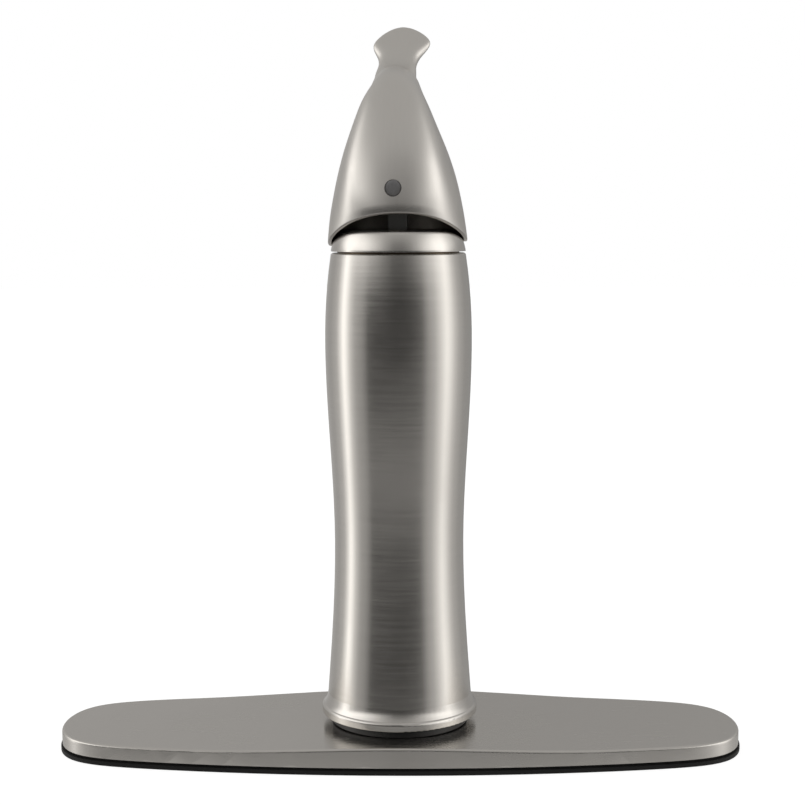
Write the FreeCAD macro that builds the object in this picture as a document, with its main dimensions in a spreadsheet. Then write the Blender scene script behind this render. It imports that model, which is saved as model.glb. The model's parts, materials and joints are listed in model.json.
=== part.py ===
import FreeCAD, Part
import math
import os
import Sketcher
from FreeCAD import Placement, Rotation, Vector

# Pull-out kitchen faucet with a top lever and a deck plate, in millimetres.
# Z points up from the deck, the spout points along +Y, and the origin lies on
# the column's axis where the gasket meets the deck.

doc = FreeCAD.newDocument("pull_out_faucet")
sheet = doc.addObject("Spreadsheet::Sheet", "Size")
nodes = []

SIZES = {
    # deck plate and its gasket
    "plate_length": 259.0,
    "plate_half_width": 37.6,
    "plate_taper": 13.8,
    "plate_bluntness": 18.0,
    "plate_top": 9.9,
    "plate_end_top": 7.75,
    "plate_swell_length": 80.0,
    "plate_wall": 1.5,
    "plate_edge_round": 0.9,
    "plate_bore_radius": 17.5,
    "gasket_thickness": 2.5,
    "gasket_lip": 0.5,
    "gasket_lip_height": 1.5,
    "gasket_recess": 0.9,
    "gasket_skirt": 6.0,
    "gasket_clearance": 0.1,
    # fixing through the deck
    "deck_thickness": 25.0,
    "shank_radius": 16.6,
    "shank_bore_radius": 14.0,
    "shank_below_deck": 60.0,
    "flange_radius": 22.3,
    "flange_height": 3.0,
    "spigot_radius": 18.5,
    "washer_radius": 30.0,
    "washer_bore_radius": 17.2,
    "rubber_thickness": 3.0,
    "steel_thickness": 2.0,
    "nut_corner_radius": 27.0,
    "nut_height": 10.0,
    "thread_clearance": 0.05,
    # swivel under the column
    "ring_radius": 26.0,
    "ring_top": 13.0,
    "ring_floor": 1.2,
    "rim_gap": 0.3,
    "bush_flange_height": 2.5,
    "bush_wall": 2.0,
    "ledge_height": 7.0,
    "running_clearance": 0.05,
    "snap_ring_height": 1.6,
    "snap_ring_radius": 21.4,
    "snap_groove_depth": 1.2,
    # column
    "rim_radius": 29.6,
    "rim_height": 2.6,
    "rim_edge_round": 0.4,
    "crease_height": 21.0,
    "crease_radius": 27.3,
    "waist_height": 79.0,
    "waist_radius": 24.4,
    "bulge_height": 155.6,
    "bulge_radius": 27.5,
    "column_top": 188.0,
    "column_top_radius": 25.1,
    "column_wall": 2.8,
    "top_chamfer": 0.5,
    # spout branch and its docking socket
    "spout_angle": 25.0,
    "spout_root_height": 112.0,
    "branch_root_radius": 20.6,
    "branch_mouth_radius": 18.6,
    "branch_length": 112.0,
    "branch_bore_radius": 13.0,
    "branch_blend": 9.0,
    "socket_depth": 36.0,
    "socket_radius": 16.2,
    "dock_bush_radius": 14.9,
    # valve chamber and cartridge
    "chamber_floor": 152.0,
    "web_thickness": 6.0,
    "cartridge_radius": 20.0,
    "cartridge_clearance": 0.1,
    "seat_height": 5.0,
    "disc_height": 4.0,
    "fixed_disc_radius": 17.6,
    "moving_disc_radius": 13.8,
    "port_radius": 3.2,
    "seal_radius": 0.7,
    "seal_ring_radius": 4.4,
    "housing_wall": 1.8,
    "housing_below_top": 4.0,
    "lid_thickness": 2.6,
    "lid_bore_radius": 13.4,
    "carrier_width": 17.0,
    "carrier_height": 12.5,
    "pivot_below_top": 3.5,
    "pin_radius": 1.5,
    "ball_radius": 3.0,
    "ball_drop": 9.0,
    "turret_radius": 17.9,
    "turret_neck_radius": 13.0,
    "turret_above_pivot": 6.5,
    "stem_width": 7.0,
    "stem_above_pivot": 42.5,
    "nut_thread_radius": 22.0,
    "nut_thread_depth": 4.0,
    "nut_flange_radius": 22.7,
    "nut_boss_radius": 19.5,
    "nut_boss_height": 4.4,
    "cap_gap": 0.6,
    "cap_sphere_radius": 25.5,
    "cap_above_pivot": 12.3,
    "cap_wall": 1.6,
    "cap_base_height": 2.0,
    "cap_bore_radius": 12.5,
    # water tubes
    "tube_radius": 4.0,
    "tube_bore_radius": 3.0,
    "solder_gap": 0.15,
    "tube_socket_depth": 4.0,
    "inlet_spread": 9.4,
    "inlet_set_back": 2.0,
    "outlet_set_back": 9.4,
    "tube_below_deck": 84.0,
    "nipple_radius": 5.0,
    "nipple_length": 14.0,
    # pull-out hose
    "hose_radius": 6.5,
    "hose_set_forward": 7.0,
    "hose_bend_radius": 50.0,
    "hose_below_deck": 72.0,
    "fitting_length": 20.0,
    # wand
    "tail_radius": 14.6,
    "tail_length": 30.0,
    "tail_bore_radius": 7.0,
    "waterway_radius": 7.0,
    "hose_nut_radius": 9.5,
    "hose_nut_length": 16.0,
    "wand_straight": 46.0,
    "wand_bend_radius": 40.0,
    "wand_bend_angle": 100.0,
    "head_length": 12.0,
    "wand_root_radius": 18.4,
    "grip_radius": 17.4,
    "head_radius": 21.5,
    "wand_wall": 2.2,
    "face_radius": 18.6,
    "face_thickness": 4.0,
    "face_seat_depth": 2.8,
    "face_ring_height": 1.6,
    "valve_body_radius": 15.0,
    "valve_body_height": 17.2,
    "aerator_radius": 7.5,
    "nozzle_radius": 0.8,
    "nozzle_circle": 13.4,
    "nozzle_count": 16,
    "rocker_length": 24.0,
    "rocker_width": 12.0,
    "rocker_depth": 5.0,
    "rocker_place": 55.0,
    "rocker_gap": 0.5,
    "rocker_proud": 1.2,
    "rocker_pin_radius": 1.0,
    # lever handle
    "handle_turn": 1.7,
    "handle_rim_radius": 26.3,
    "rim_above_pivot": 6.8,
    "rear_rim_rise": 12.3,
    "rim_blend_radius": 30.0,
    "handle_wall": 1.4,
    "tip_reach": 62.2,
    "tip_above_rim": 86.9,
    "stem_boss_radius": 8.0,
    "stem_fit": 0.1,
    "screw_fit": 0.05,
    "plug_depth": 12.0,
    "boss_above_rim": 15.2,
    "screw_above_rim": 20.2,
    "screw_radius": 2.5,
    "screw_length": 7.5,
    "screw_boss_radius": 5.0,
    "plug_radius": 2.95,
    "plug_length": 3.0,
}

# Heights that follow from the sizes above.
DERIVED = {
    "housing_top": "column_top - housing_below_top",
    "pivot_height": "column_top - pivot_below_top",
    "turret_top": "pivot_height + turret_above_pivot",
    "stem_top": "pivot_height + stem_above_pivot",
    "cap_top": "pivot_height + cap_above_pivot",
    "handle_rim_height": "pivot_height + rim_above_pivot",
    "handle_rear_rim_height": "handle_rim_height + rear_rim_rise",
    "tip_height": "handle_rim_height + tip_above_rim",
    "stem_boss_bottom": "handle_rim_height + boss_above_rim",
    "screw_height": "handle_rim_height + screw_above_rim",
}


def fill_sheet():
    """Write each size into the sheet and give its cell the size's name."""
    cells = dict(SIZES)
    cells.update((name, f"={formula}") for name, formula in DERIVED.items())
    for row, (name, value) in enumerate(cells.items(), start=1):
        sheet.set(f"A{row}", name)
        sheet.set(f"B{row}", str(value))
        sheet.setAlias(f"B{row}", name)
    doc.recompute()


def size(name):
    """Read one size from the sheet."""
    return float(sheet.get(name))


def keep(thing, label):
    """Name a finished sub-part and keep it for the export."""
    thing.Label = label
    nodes.append(thing)
    return thing


def bind(thing, **formulas):
    """Tie properties to the sheet; a double underscore stands for a dot."""
    for prop, formula in formulas.items():
        thing.setExpression(prop.replace("__", "."), formula)
    return thing


def place(thing, x="0", y="0", z="0"):
    """Tie a sub-part's place to the sheet."""
    return bind(thing, Placement__Base__x=x, Placement__Base__y=y, Placement__Base__z=z)


def turn_about_x(thing, angle):
    """Tilt a thing from the Z axis towards +Y by an angle in degrees."""
    thing.Placement.Rotation = Rotation(Vector(-1, 0, 0), 1)
    return bind(thing, Placement__Rotation__Angle=angle)


def along_spout(thing, distance):
    """Stand a thing on the spout's axis, at a distance from the column's axis."""
    turn_about_x(thing, "90 - Size.spout_angle")
    return place(
        thing,
        y=f"({distance}) * cos(Size.spout_angle)",
        z=f"Size.spout_root_height + ({distance}) * sin(Size.spout_angle)",
    )


def turned(name, outline):
    """Revolve a closed outline of (radius, height) formulas about the Z axis."""
    body = doc.addObject("PartDesign::Body", name)
    sketch = body.newObject("Sketcher::SketchObject", name + "_outline")
    plane = next(f for f in body.Origin.OriginFeatures if f.Role == "XZ_Plane")
    sketch.AttachmentSupport = [(plane, "")]
    sketch.MapMode = "FlatFace"
    corners = [[read_formula(r), read_formula(z)] for r, z in outline]
    count = len(corners)
    for i, corner in enumerate(corners):
        after = corners[(i + 1) % count]
        line = Part.LineSegment(Vector(*corner, 0), Vector(*after, 0))
        sketch.addGeometry(line, False)
    for i in range(count):
        sketch.addConstraint(Sketcher.Constraint("Coincident", i, 2, (i + 1) % count, 1))
    for i, formulas in enumerate(outline):
        for kind, formula, value in zip(("DistanceX", "DistanceY"), formulas, corners[i]):
            index = sketch.addConstraint(Sketcher.Constraint(kind, -1, 1, i, 1, value))
            sketch.setExpression(f"Constraints[{index}]", formula)
    turning = body.newObject("PartDesign::Revolution", name + "_turning")
    turning.Profile = sketch
    turning.ReferenceAxis = (sketch, ["V_Axis"])
    turning.Angle = 360.0
    body.Tip = turning
    return body


def read_formula(formula):
    """Work out a formula on the sheet, so that a sketch starts in its solved place."""
    return float(sheet.evalExpression(formula))


def cylinder(name, radius, height, x="0", y="0", z="0"):
    """A cylinder standing on its lower face."""
    thing = doc.addObject("Part::Cylinder", name)
    bind(thing, Radius=radius, Height=height)
    return place(thing, x, y, z)


def cross_pin(name, radius, length, y="0", z="0"):
    """A cylinder that lies along X, centred on the YZ plane."""
    thing = doc.addObject("Part::Cylinder", name)
    thing.Placement.Rotation = Rotation(Vector(0, 1, 0), 90)
    bind(thing, Radius=radius, Height=length)
    return place(thing, x=f"-({length}) / 2", y=y, z=z)


def block(name, width, depth, height, x="0", y="0", z="0"):
    """A box centred on x and y, standing on z."""
    thing = doc.addObject("Part::Box", name)
    bind(thing, Length=width, Width=depth, Height=height)
    return place(thing, f"({x}) - ({width}) / 2", f"({y}) - ({depth}) / 2", z)


def fuse(name, *things):
    """Join solids into one."""
    joined = doc.addObject("Part::MultiFuse", name)
    joined.Shapes = list(things)
    joined.Refine = True
    return joined


def cut(name, base, *tools):
    """Take tools out of a base, one after another."""
    for i, tool in enumerate(tools):
        step = doc.addObject("Part::Cut", f"{name}_{i}")
        step.Base = base
        step.Tool = tool
        base = step
    return base


def freeform(name, shape):
    """A casting or moulding whose surface is swept through sections."""
    thing = doc.addObject("Part::Feature", name)
    thing.Shape = shape
    return thing


# Deck plate and gasket


def plate_outline(offset, height):
    """The plate's plan: long sides that taper in a shallow bow, and blunt round ends."""
    half_length = size("plate_length") / 2 + offset
    half_width = size("plate_half_width") + offset
    taper = size("plate_taper")
    bluntness = size("plate_bluntness")
    quarter = []
    for share in (0.0, 0.2, 0.4, 0.58, 0.72, 0.82, 0.89, 0.94, 0.975, 0.994):
        bowed = half_width - taper * share ** 2
        rounded = bowed * math.sqrt(1 - share ** bluntness)
        quarter.append((share * half_length, rounded))
    right_rear = quarter + [(half_length, 0)]
    right_front = [(x, -y) for x, y in reversed(quarter)]
    left_front = [(-x, -y) for x, y in quarter[1:]] + [(-half_length, 0)]
    left_rear = [(-x, y) for x, y in reversed(quarter[1:])]
    points = [Vector(x, y, height) for x, y in right_rear + right_front + left_front + left_rear]
    curve = Part.BSplineCurve()
    curve.interpolate(Points=points, PeriodicFlag=True)
    return Part.Face(Part.Wire(curve.toShape()))


def plate_swell(lower_by, side):
    """The space under the plate's top, which swells gently towards the column."""
    half = size("plate_length") / 2 + side
    run = size("plate_swell_length")
    top = size("plate_top") - lower_by
    end = size("plate_end_top") - lower_by
    depth = size("plate_half_width") + side
    rise = Part.BSplineCurve()
    points = [Vector(-run, -depth, end), Vector(0, -depth, top), Vector(run, -depth, end)]
    flat = Vector(1, 0, 0)
    rise.interpolate(Points=points, Tangents=[flat, flat, flat], TangentFlags=[True] * 3)
    left = Vector(-half, -depth, end)
    right = Vector(half, -depth, end)
    floor_left = Vector(-half, -depth, 0)
    floor_right = Vector(half, -depth, 0)
    edges = [
        Part.makeLine(floor_left, left),
        Part.makeLine(left, points[0]),
        rise.toShape(),
        Part.makeLine(points[2], right),
        Part.makeLine(right, floor_right),
        Part.makeLine(floor_right, floor_left),
    ]
    return Part.Face(Part.Wire(edges)).extrude(Vector(0, 2 * depth, 0))


def deck_plate():
    """Pressed cover plate: open underneath, with a round bore for the shank."""
    bottom = size("gasket_thickness")
    wall = size("plate_wall")
    tall = Vector(0, 0, 2 * size("plate_top"))
    block_shape = plate_outline(0, bottom).extrude(tall).common(plate_swell(0, 1))
    upper = [e for e in block_shape.Edges if e.BoundBox.ZMin > bottom + 1 and not crosses_plate(e)]
    block_shape = block_shape.makeFillet(size("plate_edge_round"), upper)
    hollow = plate_outline(-wall, bottom - 1).extrude(tall).common(plate_swell(wall, 1))
    bore = Part.makeCylinder(size("plate_bore_radius"), 4 * size("plate_top"), Vector(0, 0, -1))
    keep(freeform("plate", block_shape.cut(hollow).cut(bore)), "deck_plate")


def crosses_plate(edge):
    """True for the straight edges where the plate's swell runs out into its flat ends."""
    box = edge.BoundBox
    return box.XLength < 0.01 and box.YLength > size("plate_half_width")


def deck_gasket():
    """Black underlay: a lip that shows, a set-back neck, a skirt and a central hub."""
    lip_height = size("gasket_lip_height")
    thickness = size("gasket_thickness")
    wall = size("plate_wall")
    lip = plate_outline(size("gasket_lip"), 0).extrude(Vector(0, 0, lip_height))
    neck_rise = Vector(0, 0, thickness - lip_height)
    neck = plate_outline(-size("gasket_recess"), lip_height).extrude(neck_rise)
    window = plate_outline(-size("gasket_skirt"), -1).extrude(Vector(0, 0, thickness + 2))
    under_plate = wall + size("gasket_clearance")
    hub = Part.makeCylinder(size("ring_radius"), size("plate_top"))
    hub = hub.common(plate_swell(under_plate, 1))
    spoke_height = size("plate_end_top") - under_plate
    bar_length = size("plate_length") - 2 * size("gasket_skirt")
    bar = Part.makeBox(bar_length, 4, thickness, Vector(-bar_length / 2, -2, 0))
    cross = Part.makeBox(4, 2 * size("plate_half_width") - 2 * size("gasket_skirt"), thickness)
    cross.translate(Vector(-2, size("gasket_skirt") - size("plate_half_width"), 0))
    rib = Part.makeBox(bar_length * 0.8, 2, spoke_height, Vector(-bar_length * 0.4, -1, 0))
    frame = lip.fuse(neck).cut(window)
    bore = Part.makeCylinder(size("plate_bore_radius"), 4 * size("plate_top"), Vector(0, 0, -1))
    whole = frame.fuse([hub, bar, cross, rib]).cut(bore).removeSplitter()
    keep(freeform("gasket", whole), "deck_gasket")


# Fixing through the deck


def base_ring():
    """Black ring on the plate, with a pocket for the shank's flange."""
    ring = turned("ring", [
        ("Size.plate_bore_radius", "0"),
        ("Size.ring_radius", "0"),
        ("Size.ring_radius", "Size.ring_top - Size.plate_top"),
        ("Size.flange_radius + Size.rim_gap", "Size.ring_top - Size.plate_top"),
        ("Size.flange_radius + Size.rim_gap", "Size.ring_floor"),
        ("Size.plate_bore_radius", "Size.ring_floor"),
    ])
    keep(place(ring, z="Size.plate_top"), "base_ring")


FLANGE_BOTTOM = "(Size.plate_top + Size.ring_floor)"
FLANGE_TOP = f"({FLANGE_BOTTOM} + Size.flange_height)"
LEDGE_BOTTOM = f"({FLANGE_TOP} + Size.running_clearance + Size.bush_flange_height)"
LEDGE_TOP = f"({LEDGE_BOTTOM} + Size.ledge_height)"
SNAP_BOTTOM = f"({LEDGE_TOP} + Size.rim_gap)"
SNAP_TOP = f"({SNAP_BOTTOM} + Size.snap_ring_height)"


def mounting_shank():
    """Hollow threaded shank with the flange and spigot that the column turns on."""
    groove = "Size.spigot_radius - Size.snap_groove_depth"
    shank = turned("shank", [
        ("Size.shank_bore_radius", "-Size.shank_below_deck"),
        ("Size.shank_radius - 1", "-Size.shank_below_deck"),
        ("Size.shank_radius", "1 - Size.shank_below_deck"),
        ("Size.shank_radius", FLANGE_BOTTOM),
        ("Size.flange_radius", FLANGE_BOTTOM),
        ("Size.flange_radius", FLANGE_TOP),
        ("Size.spigot_radius", FLANGE_TOP),
        ("Size.spigot_radius", SNAP_BOTTOM),
        (groove, SNAP_BOTTOM),
        (groove, SNAP_TOP),
        ("Size.spigot_radius", SNAP_TOP),
        ("Size.spigot_radius - 0.5", f"{SNAP_TOP} + 2"),
        ("Size.shank_bore_radius", f"{SNAP_TOP} + 2"),
    ])
    keep(shank, "mounting_shank")


def snap_ring():
    """Split spring ring that keeps the column on the spigot."""
    inner = "Size.spigot_radius - Size.snap_groove_depth + Size.running_clearance"
    ring = turned("clip", [
        (inner, "0"),
        ("Size.snap_ring_radius", "0"),
        ("Size.snap_ring_radius", "Size.snap_ring_height"),
        (inner, "Size.snap_ring_height"),
    ])
    place(ring, z=SNAP_BOTTOM)
    slit = block("clip_slit", "6", "Size.ring_radius", "10", y="-Size.ring_radius / 2",
                 z=f"{SNAP_BOTTOM} - 4")
    keep(cut("split_clip", ring, slit), "snap_ring")


def washer(name, label, thickness, bottom):
    """A flat ring round the shank, under the deck."""
    ring = turned(name, [
        ("Size.washer_bore_radius", "0"),
        ("Size.washer_radius", "0"),
        ("Size.washer_radius", thickness),
        ("Size.washer_bore_radius", thickness),
    ])
    keep(place(ring, z=bottom), label)


STEEL_BOTTOM = "(-Size.deck_thickness - Size.rubber_thickness - Size.steel_thickness)"


def mounting_nut():
    """Hexagonal nut that draws the shank down against the deck."""
    hexagon = doc.addObject("Part::Prism", "nut_hexagon")
    hexagon.Polygon = 6
    bind(hexagon, Circumradius="Size.nut_corner_radius", Height="Size.nut_height")
    place(hexagon, z=f"{STEEL_BOTTOM} - Size.nut_height")
    bore = cylinder("nut_bore", "Size.shank_radius + Size.thread_clearance", "Size.nut_height + 2",
                    z=f"{STEEL_BOTTOM} - Size.nut_height - 1")
    keep(cut("nut", hexagon, bore), "mounting_nut")


# Column and spout


def column_curve():
    """Hourglass line of the column, in the XZ plane, from the crease to the top."""
    points = [
        Vector(size("crease_radius"), 0, size("crease_height")),
        Vector(size("waist_radius"), 0, size("waist_height")),
        Vector(size("bulge_radius"), 0, size("bulge_height")),
        Vector(size("column_top_radius"), 0, size("column_top")),
    ]
    up = Vector(0, 0, 1)
    leaning_in = Vector(-0.076, 0, 1)
    top_lean = Vector(-0.155, 0, 1)
    curve = Part.BSplineCurve()
    curve.interpolate(
        Points=points,
        Parameters=[p.z for p in points],
        Tangents=[leaning_in, up, up, top_lean],
        TangentFlags=[True] * 4,
    )
    return curve


def column_profile():
    """Outer section of the column: rim, flare, hourglass and chamfered top."""
    rim_bottom = size("ring_top") + size("rim_gap")
    rim_top = rim_bottom + size("rim_height")
    rim = size("rim_radius")
    crease = Vector(size("crease_radius"), 0, size("crease_height"))
    chamfer = size("top_chamfer")
    top = size("column_top")
    axis_low = Vector(0, 0, rim_bottom)
    axis_high = Vector(0, 0, top)
    shoulder = Vector(rim - 0.8, 0, rim_top + 0.9)
    curve = column_curve()
    curve.segment(size("crease_height"), top - chamfer)
    last = curve.value(top - chamfer)
    lip = Vector(size("column_top_radius") - chamfer, 0, top)
    hollow_of_flare = Vector(
        crease.x + 0.35 * (shoulder.x - crease.x), 0, shoulder.z + 0.45 * (crease.z - shoulder.z))
    round_of_rim = Vector(rim - 0.2, 0, rim_top + 0.35)
    edge = size("rim_edge_round")
    low_edge = Vector(rim - edge, 0, rim_bottom)
    high_edge = Vector(rim, 0, rim_bottom + edge)
    turn = edge * (1 - math.sqrt(0.5))
    middle_edge = Vector(rim - turn, 0, rim_bottom + turn)
    edges = [
        Part.makeLine(axis_low, low_edge),
        Part.Arc(low_edge, middle_edge, high_edge).toShape(),
        Part.makeLine(high_edge, Vector(rim, 0, rim_top - 0.5)),
        Part.Arc(Vector(rim, 0, rim_top - 0.5), round_of_rim, shoulder).toShape(),
        Part.Arc(shoulder, hollow_of_flare, crease).toShape(),
        curve.toShape(),
        Part.makeLine(last, lip),
        Part.makeLine(lip, axis_high),
        Part.makeLine(axis_high, axis_low),
    ]
    return Part.Face(Part.Wire(edges))


def around_axis(face):
    """Turn a section in the XZ plane into a solid about the Z axis."""
    return face.revolve(Vector(0, 0, 0), Vector(0, 0, 1), 360)


def spout_axis():
    """Direction of the spout."""
    angle = math.radians(size("spout_angle"))
    return Vector(0, math.cos(angle), math.sin(angle))


def spout_point(distance):
    """A point on the spout's axis."""
    return Vector(0, 0, size("spout_root_height")) + spout_axis() * distance


def column_hollow():
    """Inside of the column: swivel bore, ledge, hose space, web and valve chamber."""
    wall = size("column_wall")
    top = size("column_top")
    ledge_bottom = read_formula(LEDGE_BOTTOM)
    ledge_top = read_formula(LEDGE_TOP)
    web_bottom = size("chamber_floor") - size("web_thickness")
    start = size("crease_height") + 5
    line = column_curve()
    line.segment(start, web_bottom)
    inner = line.toShape()
    inner.translate(Vector(-wall, 0, 0))
    first = line.value(start) - Vector(wall, 0, 0)
    last = line.value(web_bottom) - Vector(wall, 0, 0)
    swivel = Part.makeCylinder(size("flange_radius") + size("rim_gap"), ledge_bottom)
    ledge_bore = size("spigot_radius") + size("running_clearance") + size("bush_wall")
    ledge = Part.makeCylinder(ledge_bore, ledge_top + 1)
    low_axis = Vector(0, 0, ledge_top)
    low = Vector(first.x, 0, ledge_top)
    edges = [
        Part.makeLine(low_axis, low),
        Part.makeLine(low, first),
        inner,
        Part.makeLine(last, Vector(0, 0, last.z)),
        Part.makeLine(Vector(0, 0, last.z), low_axis),
    ]
    hose_space = around_axis(Part.Face(Part.Wire(edges)))
    chamber_radius = size("cartridge_radius") + size("cartridge_clearance")
    floor = Vector(0, 0, size("chamber_floor"))
    chamber = Part.makeCylinder(chamber_radius, top, floor)
    thread_floor = Vector(0, 0, top - size("nut_thread_depth"))
    thread = Part.makeCylinder(size("nut_thread_radius"), top, thread_floor)
    return swivel.fuse([ledge, hose_space, chamber, thread])


def tube_places():
    """Where the hot, cold and mixed tubes stand, seen from above."""
    spread = size("inlet_spread")
    back = size("inlet_set_back")
    return [(-spread, -back), (spread, -back), (0, -size("outlet_set_back"))]


def tube_sockets():
    """Holes in the web: a socket for each tube and a narrower port above it."""
    depth = size("tube_socket_depth")
    radius = size("tube_radius") + size("solder_gap")
    start = size("chamber_floor") - size("web_thickness") - 1
    holes = []
    for x, y in tube_places():
        mouth = Vector(x, y, start)
        holes.append(Part.makeCylinder(radius, depth + 1, mouth))
        holes.append(Part.makeCylinder(size("port_radius"), 3 * depth, mouth))
    return holes


def spout_body():
    """Cast column with its branch, hollow from the swivel to the valve chamber."""
    column = around_axis(column_profile())
    length = size("branch_length")
    branch = Part.makeCone(size("branch_root_radius"), size("branch_mouth_radius"), length,
                           spout_point(0), spout_axis())
    joined = column.fuse(branch)
    seam = [e for e in joined.Edges if is_branch_seam(e)]
    joined = joined.makeFillet(size("branch_blend"), seam)
    bore = Part.makeCylinder(size("branch_bore_radius"), length + 2, spout_point(0), spout_axis())
    socket_start = spout_point(length - size("socket_depth"))
    socket = Part.makeCylinder(size("socket_radius"), size("socket_depth") + 2, socket_start,
                               spout_axis())
    hollow = column_hollow().fuse([bore, socket] + tube_sockets())
    keep(freeform("column", joined.cut(hollow)), "spout_body")


def is_branch_seam(edge):
    """True for the edge where the branch leaves the column's front."""
    box = edge.BoundBox
    reaches = size("column_top_radius") * 1.5
    in_front = box.YMin > 2 and box.YMax < reaches
    return in_front and box.ZLength > size("branch_root_radius")


def swivel_bush():
    """Nylon bush between the spigot and the column's ledge."""
    inner = "Size.spigot_radius + Size.running_clearance"
    bush = turned("bush", [
        (inner, "0"),
        ("Size.flange_radius", "0"),
        ("Size.flange_radius", "Size.bush_flange_height"),
        (f"{inner} + Size.bush_wall", "Size.bush_flange_height"),
        (f"{inner} + Size.bush_wall", "Size.bush_flange_height + Size.ledge_height"),
        (inner, "Size.bush_flange_height + Size.ledge_height"),
    ])
    keep(place(bush, z=f"{FLANGE_TOP} + Size.running_clearance"), "swivel_bush")


def dock_bush():
    """Plastic sleeve in the spout's mouth that the wand slides home in."""
    bush = turned("dock", [
        ("Size.dock_bush_radius", "0"),
        ("Size.socket_radius", "0"),
        ("Size.socket_radius", "Size.socket_depth - 0.5"),
        ("Size.dock_bush_radius + 0.6", "Size.socket_depth - 0.5"),
        ("Size.dock_bush_radius", "Size.socket_depth - 2"),
    ])
    keep(along_spout(bush, "Size.branch_length - Size.socket_depth"), "dock_bush")


# Water tubes


def water_tube(name, label, x, y):
    """Copper tube from the web down through the shank."""
    length = ("Size.chamber_floor - Size.web_thickness + Size.tube_socket_depth"
              " + Size.tube_below_deck")
    tube = turned(name, [
        ("Size.tube_bore_radius", "0"),
        ("Size.tube_radius", "0"),
        ("Size.tube_radius", length),
        ("Size.tube_bore_radius", length),
    ])
    keep(place(tube, x, y, "-Size.tube_below_deck"), label)


def tube_nipple(name, label, x, y):
    """Threaded brass end sleeve on a tube."""
    inner = "Size.tube_radius + Size.running_clearance"
    nipple = turned(name, [
        ("Size.tube_bore_radius", "-3"),
        ("Size.nipple_radius - 0.6", "-3"),
        ("Size.nipple_radius", "-2.4"),
        ("Size.nipple_radius", "Size.nipple_length - 3"),
        (inner, "Size.nipple_length - 3"),
        (inner, "0"),
        ("Size.tube_bore_radius", "0"),
    ])
    keep(place(nipple, x, y, "-Size.tube_below_deck"), label)


def pull_hose():
    """Hose from the wand's nut through the spout and the column, down past the shank."""
    radius = size("hose_radius")
    bend = size("hose_bend_radius")
    angle = math.radians(size("spout_angle"))
    turn = math.pi / 2 - angle
    forward = size("hose_set_forward")
    arc_end_y = forward + bend * (1 - math.cos(turn))
    arc_end_distance = arc_end_y / math.cos(angle)
    arc_end = spout_point(arc_end_distance)
    arc_start = Vector(0, forward, arc_end.z - bend * math.sin(turn))
    half = turn / 2
    arc_middle = arc_start + Vector(0, bend * (1 - math.cos(half)), bend * math.sin(half))
    low = Vector(0, forward, -size("hose_below_deck"))
    hose_end = size("branch_length") - size("tail_length") - size("hose_nut_length") + 6
    path = Part.Wire([
        Part.makeLine(low, arc_start),
        Part.Arc(arc_start, arc_middle, arc_end).toShape(),
        Part.makeLine(arc_end, spout_point(hose_end)),
    ])
    circle = Part.Wire(Part.makeCircle(radius, low, Vector(0, 0, 1)))
    keep(freeform("hose", path.makePipeShell([circle], True, False)), "pull_hose")


def hose_end_fitting():
    """Plug-in fitting crimped on the hose's lower end."""
    fitting = turned("fitting", [
        ("2.5", "-Size.fitting_length"),
        ("Size.hose_radius - 2.5", "-Size.fitting_length"),
        ("Size.hose_radius - 2.5", "-Size.fitting_length / 2"),
        ("Size.hose_radius + 0.3", "-Size.fitting_length / 2"),
        ("Size.hose_radius + 0.3", "6"),
        ("Size.hose_radius + 0.05", "6"),
        ("Size.hose_radius + 0.05", "0"),
        ("2.5", "0"),
    ])
    keep(place(fitting, y="Size.hose_set_forward", z="-Size.hose_below_deck"), "hose_end_fitting")


# Cartridge

SEAT_TOP = "(Size.chamber_floor + Size.seat_height)"
FIXED_TOP = f"({SEAT_TOP} + Size.disc_height)"
MOVING_TOP = f"({FIXED_TOP} + Size.disc_height)"


def ported(name, base, radius, bottom, height):
    """Cut the three water ports through a disc."""
    holes = []
    for i, (x, y) in enumerate(PORTS):
        holes.append(cylinder(f"{name}_port_{i}", radius, height, x, y, bottom))
    return cut(name, base, *holes)


PORTS = (
    ("-Size.inlet_spread", "-Size.inlet_set_back"),
    ("Size.inlet_spread", "-Size.inlet_set_back"),
    ("0", "-Size.outlet_set_back"),
)
SEAL_OUTER = "(Size.seal_ring_radius + Size.seal_radius)"


def cartridge_base():
    """Seat of the cartridge, with a pocket under each port for its seal."""
    disc = cylinder("seat", "Size.cartridge_radius - Size.cartridge_clearance",
                    "Size.seat_height", z="Size.chamber_floor")
    drilled = ported("seat_drilled", disc, "Size.port_radius", "Size.chamber_floor - 1",
                     "Size.seat_height + 2")
    pocketed = ported("seat_pocketed", drilled, SEAL_OUTER, "Size.chamber_floor - 1",
                      "1 + 2 * Size.seal_radius")
    keep(pocketed, "cartridge_base")


def port_seals():
    """Three rubber rings between the cartridge and the web."""
    rings = []
    for i, (x, y) in enumerate(PORTS):
        ring = doc.addObject("Part::Torus", f"seal_{i}")
        bind(ring, Radius1="Size.seal_ring_radius", Radius2="Size.seal_radius")
        place(ring, x, y, "Size.chamber_floor + Size.seal_radius")
        rings.append(ring)
    group = doc.addObject("Part::Compound", "seals")
    group.Links = rings
    keep(group, "port_seals")


def fixed_disc():
    """Lower ceramic disc."""
    disc = cylinder("lower_ceramic", "Size.fixed_disc_radius", "Size.disc_height", z=SEAT_TOP)
    keep(ported("lower_drilled", disc, "Size.port_radius", f"{SEAT_TOP} - 1",
                "Size.disc_height + 2"), "fixed_disc")


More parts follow.
